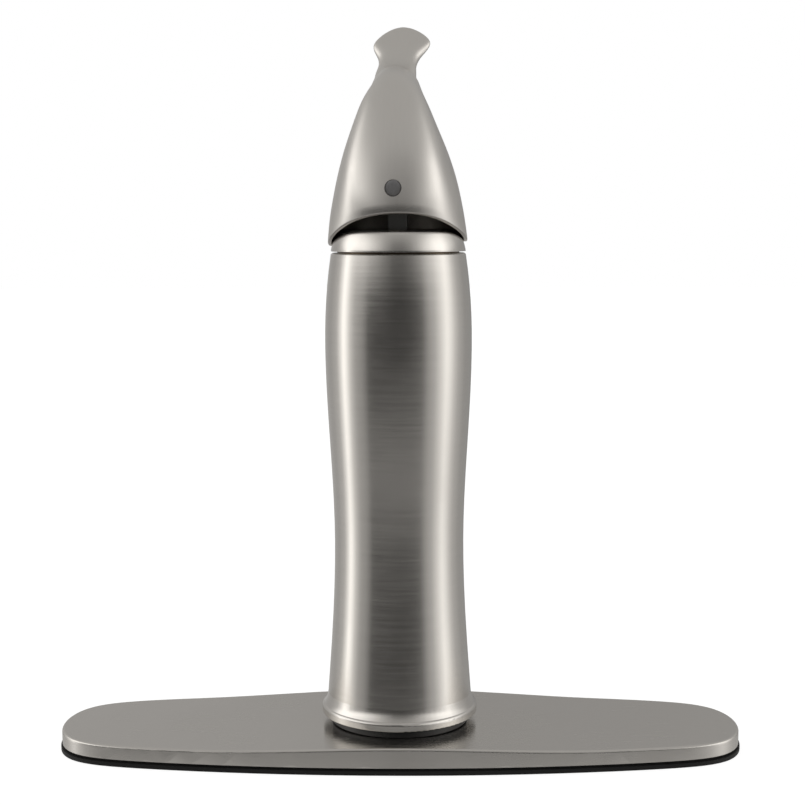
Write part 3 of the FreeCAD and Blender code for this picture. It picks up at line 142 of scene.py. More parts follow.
class Studio:
    """Camera, light and floor of the product picture."""

    CAMERA_DISTANCE = 603.0
    CAMERA_HEIGHT = 201.087
    CAMERA_SIDE = 0.765
    CAMERA_PITCH = 6.552
    CAMERA_ROLL = -0.176
    FOCAL_PIXELS = 1612.0
    CENTRE_PIXEL = 398.7
    FRAME_PIXELS = 805
    SENSOR_WIDTH = 36.0
    # (degrees round from the camera, brightness) near the horizon and well above it
    WALLS = (
        (-180, 0.37), (-174, 0.52), (-150, 0.46), (-131, 0.48), (-112, 0.66), (-101, 1.35),
        (-96.5, 2.00), (-90, 1.70), (-82, 0.95), (-71, 0.50), (-60, 0.37), (-54, 0.26),
        (-48, 0.09), (-39, 0.050), (0, 0.040), (16, 0.050), (28, 0.075), (38, 0.14),
        (44, 0.30), (50, 0.46), (59, 0.62), (70, 1.05), (82, 1.60), (90, 1.35), (100, 0.88),
        (110, 0.62), (129, 0.43), (150, 0.38), (172, 0.27), (180, 0.37),
    )
    UPPER_WALLS = (
        (-180, 0.42), (-125, 0.70), (-105, 1.90), (-85, 2.00), (-62, 1.70), (-42, 1.10),
        (-25, 0.58), (-8, 0.25), (8, 0.23), (22, 0.38), (36, 0.72), (52, 1.30), (70, 1.90),
        (88, 1.90), (104, 1.20), (125, 0.60), (180, 0.42),
    )
    BRIGHTEST = 2.0
    OVERHEAD = 0.56
    TABLE = 0.62
    BELOW = 0.15
    # degrees above the horizon between which each zone fades in
    UPPER_FADE = (9, 17)
    OVERHEAD_FADE = (22, 55)
    NEAR_TABLE_FADE = (-4, -13)
    TABLE_FADE = (-16.5, -20)
    BELOW_FADE = (-26, -56)
    NEAR_TABLE_SHARE = 0.06
    TABLE_SHARE = 0.95
    TINT = (1.0, 0.985, 0.965)
    FLOOR_SIZE = 8
    FLOOR_DROP = 0.2
    FLOOR_GREY = 0.30
    FLOOR_GLOW = 0.86

    def build(self) -> None:
        """Set up the camera, the surroundings and the floor."""
        self.camera()
        self.surroundings()
        self.floor()

    def camera(self) -> None:
        """Stand the camera behind the column, a little above the lever's rim."""
        data = bpy.data.cameras.new("studio_camera")
        data.sensor_width = self.SENSOR_WIDTH
        data.lens = self.FOCAL_PIXELS / self.FRAME_PIXELS * self.SENSOR_WIDTH
        data.shift_x = (self.FRAME_PIXELS / 2 - self.CENTRE_PIXEL) / self.FRAME_PIXELS
        holder = bpy.data.objects.new("studio_camera", data)
        bpy.context.collection.objects.link(holder)
        side, tilt, roll = (Matrix.Rotation(angle * DEGREE, 4, axis) for angle, axis in (
            (self.CAMERA_SIDE, "Z"), (90 - self.CAMERA_PITCH, "X"), (self.CAMERA_ROLL, "Z")))
        place = Vector((0, -self.CAMERA_DISTANCE, self.CAMERA_HEIGHT)) * MM
        holder.matrix_world = side @ Matrix.Translation(place) @ tilt @ roll
        bpy.context.scene.camera = holder

    def surroundings(self) -> None:
        """White for the camera; for the metal, two bright walls and a dark camera side."""
        world = bpy.data.worlds.new("studio_light")
        bpy.context.scene.world = world
        kit = Nodes(world)
        split = kit.new("SeparateXYZ", {"Vector": kit.new("TexCoord").outputs["Generated"]})
        back = kit.math("MULTIPLY", split.outputs["Y"], -1.0)
        azimuth = kit.math("ARCTAN2", split.outputs["X"], back)
        share = kit.math("MULTIPLY_ADD", azimuth, 0.5 / math.pi, 0.5)
        height = kit.math("ARCSINE", split.outputs["Z"])

        def zone(fade: Point, full: float = 1.0) -> Socket:
            return kit.remap(height, fade[0] * DEGREE, fade[1] * DEGREE, 0.0, full)

        around = kit.blend(zone(self.UPPER_FADE), self.band(kit, share, self.WALLS),
                           self.band(kit, share, self.UPPER_WALLS))
        table = kit.math("MAXIMUM", zone(self.NEAR_TABLE_FADE, self.NEAR_TABLE_SHARE),
                         zone(self.TABLE_FADE, self.TABLE_SHARE))
        for into, light in ((zone(self.OVERHEAD_FADE), self.OVERHEAD), (table, self.TABLE),
                            (zone(self.BELOW_FADE), self.BELOW)):
            around = kit.blend(into, around, light)
        grey = kit.new("CombineColor", {
            channel: kit.math("MULTIPLY", around, tint)
            for channel, tint in zip(("Red", "Green", "Blue"), self.TINT)})
        studio = kit.new("Background", {"Color": grey.outputs["Color"], "Strength": 1.0})
        white = kit.new("Background", {"Color": (1, 1, 1, 1), "Strength": 1.0})
        mix = kit.new("MixShader", {0: kit.new("LightPath").outputs["Is Camera Ray"],
                                    1: studio.outputs[0], 2: white.outputs[0]})
        kit.new("OutputWorld", {"Surface": mix.outputs[0]})

    def band(self, kit: Nodes, share: Socket, lights: Sequence[Point]) -> Socket:
        """Brightness all round at one height.

        Args:
            kit: Node helper of the world.
            share: Share of a full turn, 0.5 towards the camera.
            lights: Pairs of degrees and brightness.

        Returns:
            The brightness.
        """
        ramp = kit.new("ValToRGB", {"Fac": share})
        stops = ramp.color_ramp.elements
        while len(stops) < len(lights):
            stops.new(0.5)
        for stop, (angle, light) in zip(stops, lights):
            stop.position = (angle + 180) / 360
            stop.color = (light / self.BRIGHTEST,) * 3 + (1,)
        return kit.math("MULTIPLY", ramp.outputs["Color"], self.BRIGHTEST)

    def floor(self) -> None:
        """Pale floor at the deck's height that keeps a faint shadow."""
        Bench.clear()
        bpy.ops.mesh.primitive_plane_add(size=self.FLOOR_SIZE,
                                         location=(0, 0, -self.FLOOR_DROP * MM))
        floor = bpy.context.object
        floor.name = "floor"
        material = bpy.data.materials.new("pale_floor")
        kit = Nodes(material)
        shade = kit.new("BsdfDiffuse", {"Color": (self.FLOOR_GREY,) * 3 + (1,)})
        for_camera = kit.new("LightPath").outputs["Is Camera Ray"]
        glow = kit.new("Emission", {
            "Color": (1, 1, 1, 1), "Strength": kit.math("MULTIPLY", for_camera, self.FLOOR_GLOW)})
        both = kit.new("AddShader", {0: shade.outputs[0], 1: glow.outputs[0]})
        side = kit.new("MixShader", {
            0: kit.new("NewGeometry").outputs["Backfacing"], 1: both.outputs[0],
            2: kit.new("BsdfTransparent").outputs[0]})
        kit.new("OutputMaterial", {"Surface": side.outputs[0]})
        floor.data.materials.append(material)
        floor.visible_glossy = False


class Brush(Enum):
    """Which way a metal is brushed or turned."""

    ROUND_UPRIGHT = "round upright"
    COLUMN_AND_BRANCH = "column and branch"
    ROUND_WAND = "round wand"
    ALONG_PLATE = "along plate"
    EVEN = "even"


@dataclass(frozen=True)
class SpoutLine:
    """Middle line of the branch and the wand, in millimetres and degrees."""

    angle: float = 25.0
    root_height: float = 112.0
    bend_start: float = 158.3
    bend_radius: float = 40.0
    branch_from: float = 20.0
    branch_full: float = 33.0

    def axis(self) -> Vector:
        """Direction of the branch."""
        return Vector((0, math.cos(self.angle * DEGREE), math.sin(self.angle * DEGREE)))

    def point(self, distance: float) -> Vector:
        """Point on the branch's axis, in metres."""
        return (Vector((0, 0, self.root_height)) + self.axis() * distance) * MM

    def outward(self) -> Vector:
        """Direction at right angles to the branch, upwards."""
        return Vector((0, -math.sin(self.angle * DEGREE), math.cos(self.angle * DEGREE)))

    def bend_centre(self) -> Vector:
        """Centre of the wand's bend, in metres."""
        return self.point(self.bend_start) - self.outward() * self.bend_radius * MM

    def bent_frame(self, bend: float, beyond: float) -> Matrix:
        """Place on the wand's middle line after a bend in degrees and a straight stretch."""
        turn = Matrix.Rotation((self.angle - bend - 90) * DEGREE, 4, "X")
        onwards = Matrix.Translation(Vector((0, -self.bend_radius, beyond)) * MM)
        return Matrix.Translation(self.bend_centre()) @ turn @ onwards


SPOUT = SpoutLine()


@dataclass(frozen=True)
class Finish:
    """What every finish has: a name, a colour and a roughness."""

    name: str
    colour: Colour
    roughness: float
    metallic: ClassVar[float] = 1.0
    relief: ClassVar[float] = 1.0

    def material(self) -> bpy.types.Material:
        """Build the material round the finish's own surface."""
        material = bpy.data.materials.new(self.name)
        kit = Nodes(material)
        inputs, height = self.surface(kit, kit.new("TexCoord").outputs["Object"])
        bump = kit.new("Bump", {
            "Height": height, "Distance": self.depth * MM, "Strength": self.relief})
        shader = kit.new("BsdfPrincipled", {
            "Metallic": self.metallic, "Normal": bump.outputs["Normal"], **inputs})
        kit.new("OutputMaterial", {"Surface": shader.outputs["BSDF"]})
        return material

    def shades(self, kit: Nodes, share: Socket, dark: float, light: float) -> Socket:
        """The finish's colour, mixed from a darker and a lighter one."""
        first, second = (tuple(channel * by for channel in self.colour) + (1,)
                         for by in (dark, light))
        return kit.new("Mix", {0: share, 6: first, 7: second}, data_type="RGBA").outputs[2]

    def uneven(self, kit: Nodes, *swings: tuple) -> Socket:
        """The finish's roughness with two swings, each a noise, its range and its effect."""
        first, second = (kit.remap(*swing) for swing in swings)
        return kit.math("ADD", kit.math("ADD", first, second), self.roughness)


@dataclass(frozen=True)
class BrushedMetal(Finish):
    """Metal with fine scratches that lie one way."""

    brush: Brush = Brush.EVEN
    lines: float = 3200.0
    run: float = 55.0
    depth: float = 0.0035
    anisotropy: float = 0.75

    def surface(self, kit: Nodes, coords: Socket) -> Surface:
        """Inputs of the shader, and the height of its relief."""
        across, direction = self.lay(kit, coords)
        fine = kit.noise(across, 1.0, 2.0, 0.6)
        coarse = kit.noise(kit.vector("MULTIPLY", across, (0.6, 0.6, 0.22)), 1.0, 2.0, 0.5)
        wear = kit.noise(coords, 34.0, 3.0, 0.6)
        grain = kit.blend(0.4, fine, coarse)
        inputs = {
            "Base Color": self.shades(kit, grain, 0.95, 1.04),
            "Roughness": self.uneven(kit, (grain, 0.25, 0.75, -0.025, 0.03),
                                     (wear, 0.3, 0.7, -0.015, 0.02))}
        if direction is not None:
            normal = kit.new("NewGeometry").outputs["Normal"]
            world = kit.new("VectorTransform", {"Vector": direction},
                            vector_type="VECTOR", convert_from="OBJECT", convert_to="WORLD")
            sideways = kit.vector("CROSS_PRODUCT", normal, world.outputs[0])
            lengthways = kit.vector("CROSS_PRODUCT", sideways, normal)
            inputs["Anisotropic"] = self.anisotropy
            inputs["Tangent"] = kit.vector("NORMALIZE", lengthways)
        return inputs, grain

    def lay(self, kit: Nodes, coords: Socket) -> tuple:
        """Coordinates of the scratches, and the direction across them.

        Args:
            kit: Node helper of the material.
            coords: Place on the piece.

        Returns:
            A vector whose Z runs across the scratches, and a direction socket or None.
        """
        scale = (self.run, self.run, self.lines)
        if self.brush is Brush.ROUND_UPRIGHT:
            up = kit.new("CombineXYZ", {"Z": 1.0}).outputs[0]
            return kit.vector("MULTIPLY", coords, scale), up
        if self.brush is Brush.ALONG_PLATE:
            depth = kit.new("CombineXYZ", {"Y": 1.0, "Z": 0.02}).outputs[0]
            return kit.vector("MULTIPLY", coords, (self.run, self.lines * 0.3, self.lines)), depth
        if self.brush is Brush.COLUMN_AND_BRANCH:
            return self.column_and_branch(kit, coords, scale)
        if self.brush is Brush.ROUND_WAND:
            return self.round_wand(kit, coords, scale)
        return kit.vector("MULTIPLY", coords, (self.lines, self.lines, self.lines)), None

    def column_and_branch(self, kit: Nodes, coords: Socket,
                          scale: Sequence[float]) -> tuple:
        """Scratches round the column, and round the branch where that has left it."""
        depth = kit.new("SeparateXYZ", {"Vector": coords}).outputs["Y"]
        share = kit.remap(depth, SPOUT.branch_from * MM, SPOUT.branch_full * MM, 0.0, 1.0)
        lean = (90 - SPOUT.angle) * DEGREE
        turned = kit.new("VectorRotate", {"Vector": coords, "Rotation": (lean, 0, 0)},
                         rotation_type="EULER_XYZ")
        column = kit.vector("MULTIPLY", coords, scale)
        branch = kit.vector("MULTIPLY", turned.outputs[0], scale)
        lines = kit.new("Mix", {0: share, 4: column, 5: branch}, data_type="VECTOR")
        way = kit.new("Mix", {0: share, 4: (0, 0, 1), 5: tuple(SPOUT.axis())},
                      data_type="VECTOR")
        return lines.outputs[1], way.outputs[1]

    def round_wand(self, kit: Nodes, coords: Socket,
                   scale: Sequence[float]) -> tuple:
        """Scratches round the wand's middle line, also in its bend."""
        along, out = (kit.along(coords, way, SPOUT.bend_centre())
                      for way in (SPOUT.axis(), SPOUT.outward()))
        angle = kit.math("MAXIMUM", kit.math("ARCTAN2", along, out), 0.0)
        run = kit.math("ADD", kit.math("MINIMUM", along, 0.0),
                       kit.math("MULTIPLY", angle, SPOUT.bend_radius * MM))
        across = kit.new("SeparateXYZ", {"Vector": coords}).outputs["X"]
        lines = kit.new("CombineXYZ", {
            "X": kit.math("MULTIPLY", across, scale[0]), "Y": kit.math("MULTIPLY", out, scale[1]),
            "Z": kit.math("MULTIPLY", run, scale[2])})
        lean = kit.math("SUBTRACT", SPOUT.angle * DEGREE, angle)
        way = kit.new("CombineXYZ", {
            "Y": kit.math("COSINE", lean), "Z": kit.math("SINE", lean)})
        return lines.outputs[0], way.outputs[0]


@dataclass(frozen=True)
class SatinMetal(Finish):
    """Cast metal with a silky, even, slightly lengthways finish."""

    grain: float = 2600.0
    depth: float = 0.006

    def surface(self, kit: Nodes, coords: Socket) -> Surface:
        """Inputs of the shader, and the height of its relief."""
        pebble = kit.noise(coords, self.grain, 2.0, 0.6)
        streak = kit.noise(kit.vector("MULTIPLY", coords, (1500.0, 130.0, 130.0)), 1.0, 2.0, 0.5)
        cloud = kit.noise(coords, 60.0, 3.0, 0.55)
        mixed = kit.blend(0.45, pebble, streak)
        return {
            "Base Color": self.shades(kit, mixed, 0.94, 1.05),
            "Roughness": self.uneven(kit, (mixed, 0.3, 0.7, -0.03, 0.04),
                                     (cloud, 0.3, 0.7, -0.025, 0.03))}, mixed


@dataclass(frozen=True)
class Moulded(Finish):
    """Rubber, plastic or ceramic with a fine pebble and soft cloudiness."""

    pebble: float = 1400.0
    depth: float = 0.02
    cloud: float = 0.12
    specular: float = 0.5
    metallic: ClassVar[float] = 0.0

    def surface(self, kit: Nodes, coords: Socket) -> Surface:
        """Inputs of the shader, and the height of its relief."""
        grain = kit.noise(coords, self.pebble, 3.0, 0.55)
        both = kit.blend(0.5, grain, kit.noise(coords, 70.0, 3.0, 0.6))
        return {
            "Base Color": self.shades(kit, kit.remap(both, 0.3, 0.7), 1 - self.cloud,
                                      1 + self.cloud),
            "Roughness": kit.remap(both, 0.3, 0.7, self.roughness - 0.05,
                                   self.roughness + 0.07),
            "Specular IOR Level": self.specular}, grain


@dataclass(frozen=True)
class Braid(Finish):
    """Grey braided sleeve: two sets of strands that cross at an angle."""

    strand: float = 1.6
    strands: float = 12.0
    depth: float = 0.16
    metallic: ClassVar[float] = 0.0
    relief: ClassVar[float] = 0.8

    def surface(self, kit: Nodes, coords: Socket) -> Surface:
        """Inputs of the shader, and the height of its relief."""
        along = kit.along(coords, SPOUT.axis(), Vector())
        up = kit.along(coords, SPOUT.outward(), SPOUT.point(0))
        across = kit.new("SeparateXYZ", {"Vector": coords}).outputs["X"]
        round_it = kit.math("MULTIPLY", kit.math("ARCTAN2", across, up), self.strands)
        forward = kit.math("MULTIPLY", along, math.pi / (self.strand * MM))
        weave = kit.math("MAXIMUM", *(
            kit.math("SINE", kit.math(way, forward, round_it)) for way in ("ADD", "SUBTRACT")))
        yarn = kit.noise(coords, 2600.0, 2.0, 0.6)
        return {
            "Base Color": self.shades(kit, kit.remap(weave, -0.4, 0.9), 0.35, 1.1),
            "Roughness": kit.remap(yarn, 0.3, 0.7, self.roughness - 0.06, self.roughness + 0.08),
        }, kit.math("ADD", weave, kit.math("MULTIPLY", yarn, 0.35))


NICKEL = (0.585, 0.565, 0.535)


class Finishes:
    """All finishes of the faucet, each made once."""

    ALL = {
        "body": BrushedMetal("brushed_nickel_body", NICKEL, 0.20, Brush.COLUMN_AND_BRANCH),
        "wand": BrushedMetal("brushed_nickel_wand", NICKEL, 0.20, Brush.ROUND_WAND),
        "turned": BrushedMetal("brushed_nickel_turned", NICKEL, 0.19, Brush.ROUND_UPRIGHT),
        "plate": BrushedMetal("brushed_nickel_plate", NICKEL, 0.24, Brush.ALONG_PLATE,
                              depth=0.001),
        "satin": SatinMetal("satin_nickel", (0.60, 0.58, 0.55), 0.34),
        "rubber": Moulded("black_rubber", (0.012, 0.012, 0.012), 0.62, 1100.0, 0.03, 0.2, 0.35),
        "acetal": Moulded("black_acetal", (0.010, 0.010, 0.011), 0.30, 2200.0, 0.006, 0.15, 0.5),
        "face": Moulded("dark_face", (0.045, 0.046, 0.048), 0.42, 1900.0, 0.015, 0.12, 0.5),
        "nylon": Moulded("white_nylon", (0.72, 0.71, 0.67), 0.38, 1300.0, 0.008, 0.05, 0.5),
        "grey": Moulded("grey_plastic", (0.20, 0.198, 0.202), 0.45, 1700.0, 0.010, 0.08, 0.5),
        "ceramic": Moulded("ceramic", (0.78, 0.77, 0.74), 0.16, 2400.0, 0.002, 0.04, 0.6),
        "brass": BrushedMetal("turned_brass", (0.60, 0.43, 0.20), 0.30, Brush.ROUND_UPRIGHT,
                              2400.0),
        # brass darkened as painted shade of the groove between cap and column top, where the
        # cartridge nut shows; the darkening is not the metal's own colour
        "brass_painted_groove_shade": BrushedMetal("brass_darkened_for_groove_shade", (0.17, 0.13, 0.09), 0.42, Brush.ROUND_UPRIGHT,
                                   2400.0),
        "steel": BrushedMetal("zinc_steel", (0.50, 0.50, 0.49), 0.34, Brush.EVEN, 900.0),
        "copper": BrushedMetal("drawn_copper", (0.70, 0.33, 0.20), 0.32, Brush.EVEN, 700.0),
        "braid": Braid("grey_braid", (0.23, 0.235, 0.24), 0.5),
    }

    def __init__(self) -> None:
        """Build every material."""
        self.made = {name: finish.material() for name, finish in self.ALL.items()}

    def give(self, piece: Piece, name: str) -> None:
        """Dress a piece in one finish."""
        material = self.made[name]
        if not piece.material_slots:
            piece.data.materials.append(material)
        for slot in piece.material_slots:
            slot.material = material


class Bench:
    """Modelling steps that several pieces share."""

    @staticmethod
    def clear() -> None:
        """Leave edit mode and select nothing."""
        if bpy.context.object and bpy.context.object.mode != "OBJECT":
            bpy.ops.object.mode_set(mode="OBJECT")
        bpy.ops.object.select_all(action="DESELECT")

    @classmethod
    def pick(cls, piece: Piece) -> None:
        """Select one piece and make it active."""
        cls.clear()
        piece.select_set(True)
        bpy.context.view_layer.objects.active = piece

    @classmethod
    @contextmanager
    def editing(cls, piece: Piece) -> Iterator[None]:
        """Edit mode of one piece, with everything selected at the start."""
        cls.pick(piece)
        bpy.ops.object.mode_set(mode="EDIT")
        bpy.ops.mesh.select_all(action="SELECT")
        yield
        bpy.ops.object.mode_set(mode="OBJECT")

    @classmethod
    def change(cls, piece: Piece, kind: str, **settings: object) -> None:
        """Apply one modifier with its settings to a piece."""
        cls.pick(piece)
        step = piece.modifiers.new("step", kind)
        for name, value in settings.items():
            setattr(step, name, value)
        bpy.ops.object.modifier_apply(modifier=step.name)

    @staticmethod
    def named(name: str) -> Piece:
        """Name the piece that was just added, and its mesh."""
        piece = bpy.context.object
        piece.name = piece.data.name = name
        return piece

    @staticmethod
    def weld(reach: float) -> None:
        """Merge all corners within a reach in millimetres, with everything selected."""
        bpy.ops.mesh.select_all(action="SELECT")
        bpy.ops.mesh.remove_doubles(threshold=reach * MM)
        bpy.ops.mesh.select_all(action="SELECT")

    @classmethod
    def lathe(cls, name: str, outline: Sequence[Point], soften: float = 0.0,
              steps: int = 96, at: Matrix = Matrix.Identity(4)) -> Piece:
        """Spin a closed outline round the Z axis.

        Args:
            name: Name of the new piece.
            outline: Corners as (radius, height) in millimetres.
            soften: Width of the rounded edges in millimetres.
            steps: Facets all round.
            at: Place of the finished piece.

        Returns:
            The new piece, with its place in its mesh.
        """
        cls.clear()
        bpy.ops.mesh.primitive_plane_add(size=MM)
        piece = cls.named(name)
        with cls.editing(piece):
            bpy.ops.mesh.merge(type="CENTER")
            before = Vector((0, 0, 0))
            for i, (radius, height) in enumerate((*outline, outline[0])):
                after = Vector((radius, 0, height)) * MM
                step = {"value": tuple(after - before)}
                if i == 0:
                    bpy.ops.transform.translate(**step)
                else:
                    bpy.ops.mesh.extrude_vertices_move(TRANSFORM_OT_translate=step)
                before = after
            cls.weld(0.001)
            bpy.ops.mesh.spin(steps=steps, angle=2 * math.pi, center=(0, 0, 0), axis=(0, 0, 1))
        cls.close(piece)
        if soften:
            cls.soften(piece, soften)
        cls.smooth(piece)
        piece.data.transform(at)
        return piece

    @classmethod
    def rod(cls, name: str, radius: float, low: float, high: float, steps: int = 40,
            at: Matrix = Matrix.Identity(4)) -> Piece:
        """A plain round bar between two heights in millimetres."""
        outline = ((0.0, low), (radius, low), (radius, high), (0.0, high))
        return cls.lathe(name, outline, 0.0, steps, at)

    @classmethod
    def close(cls, piece: Piece) -> None:
        """Merge doubles and turn the faces outwards."""
        with cls.editing(piece):
            cls.weld(0.002)
            bpy.ops.mesh.normals_make_consistent(inside=False)

    @classmethod
    def soften(cls, piece: Piece, width: float, segments: int = 3, angle: float = 35.0) -> None:
        """Round the sharp edges by a width in millimetres."""
        cls.change(piece, "BEVEL", width=width * MM, segments=segments, limit_method="ANGLE",
                   angle_limit=angle * DEGREE, harden_normals=False)

    @classmethod
    def smooth(cls, piece: Piece, angle: float = 32.0) -> None:
        """Shade smooth, apart from sharp edges."""
        cls.pick(piece)
        bpy.ops.object.shade_smooth_by_angle(angle=angle * DEGREE)

    @classmethod
    def join(cls, pieces: Sequence[Piece]) -> Piece:
        """Join pieces into the first one."""
        cls.pick(pieces[0])
        for piece in pieces:
            piece.select_set(True)
        bpy.ops.object.join()
        return pieces[0]

    @classmethod
    def combine(cls, piece: Piece, tool: Piece, operation: str) -> None:
        """Join a tool to a piece, or cut it out, and remove the tool."""
        cls.change(piece, "BOOLEAN", operation=operation, solver="EXACT", object=tool)
        bpy.data.objects.remove(tool, do_unlink=True)

    @classmethod
    def loft(cls, name: str, rings: Sequence[Sequence[Vector]]) -> Piece:
        """Extrude a circle ring by ring and settle each ring in its place.

        Args:
            name: Name of the new piece.
            rings: Points of each ring, in millimetres, all rings with as many.

        Returns:
            A closed shell through the rings, with both ends filled.
        """
        cls.clear()
        bpy.ops.mesh.primitive_circle_add(vertices=len(rings[0]), radius=MM)
        piece = cls.named(name)
        with cls.editing(piece):
            mesh = bmesh.from_edit_mesh(piece.data)
            order = mesh.verts.layers.int.new("place")
            for i, corner in enumerate(mesh.verts):
                corner[order] = i
            for step, ring in enumerate(rings):
                if step:
                    bpy.ops.mesh.extrude_edges_move(TRANSFORM_OT_translate={"value": (0, 0, MM)})
                mesh = bmesh.from_edit_mesh(piece.data)
                order = mesh.verts.layers.int["place"]
                for corner in mesh.verts:
                    if corner.select:
                        corner.co = ring[corner[order]] * MM
                if step in (0, len(rings) - 1):
                    bpy.ops.mesh.edge_face_add()
                    bpy.ops.mesh.poke()
                    cls.pick_open_edges(piece)
        cls.close(piece)
        piece.data.attributes.remove(piece.data.attributes["place"])
        return piece

    @staticmethod
    def pick_open_edges(piece: Piece) -> None:
        """Select only the edges that have one face, in edit mode."""
        mesh = bmesh.from_edit_mesh(piece.data)
        for face in mesh.faces:
            face.select_set(False)
        for edge in mesh.edges:
            edge.select_set(len(edge.link_faces) == 1)
        bmesh.update_edit_mesh(piece.data)

    @classmethod
    def copy_of(cls, node: str, name: str) -> Piece:
        """A merged copy of a node of the frame, with its flat faces whole."""
        piece = bpy.data.objects.new(name, frame["nodes"][node].data.copy())
        piece.data.name = name
        bpy.context.collection.objects.link(piece)
        with cls.editing(piece):
            cls.weld(0.002)
            bpy.ops.mesh.dissolve_limited(angle_limit=0.4 * DEGREE)
        return piece

    @classmethod
    def thread(cls, name: str, radius: float, pitch: float, bottom: float, top: float,
               at: Matrix = Matrix.Identity(4)) -> Piece:
        """A screw thread that stands on a core.

        Args:
            name: Name of the new piece.
            radius: Outer radius in millimetres.
            pitch: Rise of one turn in millimetres.
            bottom: Lowest height in millimetres.
            top: Highest height in millimetres.
            at: Place of the finished piece.

        Returns:
            The thread as a closed shell.
        """
        cls.clear()
        root = radius - 0.62 * pitch
        # in the order of a plane's corners: lower root and crest, upper root and crest
        tooth = ((root, 0.0), (radius, 0.38 * pitch), (root, 0.88 * pitch), (radius, 0.5 * pitch))
        bpy.ops.mesh.primitive_plane_add(size=MM)
        piece = cls.named(name)
        with cls.editing(piece):
            mesh = bmesh.from_edit_mesh(piece.data)
            for corner, (out, rise) in zip(mesh.verts, tooth):
                corner.co = Vector((out, 0, bottom + rise)) * MM
            bpy.ops.mesh.delete(type="ONLY_FACE")
        cls.change(piece, "SCREW", axis="Z", screw_offset=pitch * MM, steps=40, render_steps=40,
                   iterations=int((top - bottom) / pitch) - 1)
        with cls.editing(piece):
            bpy.ops.mesh.fill_holes(sides=4)
        cls.close(piece)
        cls.smooth(piece, 25)
        piece.data.transform(at)
        return piece


def cubic(u: float, start: float, leaving: float, end: float, arriving: float) -> float:
    """Smooth curve from one value to the next.

    Args:
        u: Share of the way, from 0 to 1.
        start: First value.
        leaving: Slope at the first value.
        end: Last value.
        arriving: Slope at the last value.

    Returns:
        The value on the way.
    """
    return ((2 * u ** 3 - 3 * u ** 2 + 1) * start + (u ** 3 - 2 * u ** 2 + u) * leaving
            + (3 * u ** 2 - 2 * u ** 3) * end + (u ** 3 - u ** 2) * arriving)


@dataclass
class SubAssembly:
    """A group of pieces that are dressed together."""

    finishes: Finishes

    def fit_out(self, piece: Piece, node: str, finish: str, slot: str) -> None:
        """Give a new piece its finish and the body of a node."""
        self.finishes.give(piece, finish)
        bodies = frame["record"]["behaviour"]["bodies"]
        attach(piece, next(body for body, members in bodies.items() if node in members))
        log.info("%s is in place at %s", piece.name, node)

    def stand_in(self, piece: Piece, node: str, finish: str, slot: str) -> None:
        """Let a new piece take a node's place."""
        self.fit_out(piece, node, finish, slot)
        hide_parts(node)


@dataclass
class Kept(SubAssembly):
    """Pieces that keep their solids and are given a finish."""

    NODES: ClassVar[dict[str, tuple[str, ...]]] = {
        "plate": ("deck_plate",),
        "body": ("spout_body",),
        "wand": ("wand_shell",),
        "satin": ("face_ring",),
        "rubber": ("deck_gasket", "port_seals"),
        "acetal": ("swivel_bush", "dock_bush", "wand_tail", "waterway"),
        "face": ("spray_face",),
        "nylon": ("cartridge_base", "disc_carrier", "cartridge_housing", "turret",
                  "check_valve", "spray_valve"),
        "grey": ("aerator",),
        "ceramic": ("fixed_disc", "moving_disc"),
        "brass": ("hose_nut", "hose_end_fitting"),
        # the cartridge nut's brass is darkened: painted shade of the groove it sits in
        "brass_painted_groove_shade": ("cartridge_nut",),
        "steel": ("snap_ring", "pivot_pin", "lever_stem", "set_screw", "rocker_pin"),
        "copper": ("hot_tube", "cold_tube", "outlet_tube"),
    }

    def build(self) -> None:
        """Dress every piece of the table."""
        for finish, nodes in self.NODES.items():
            for node in nodes:
                self.finishes.give(frame["nodes"][node], finish)
                log.info("%s keeps its solid, finish %s", node, finish)


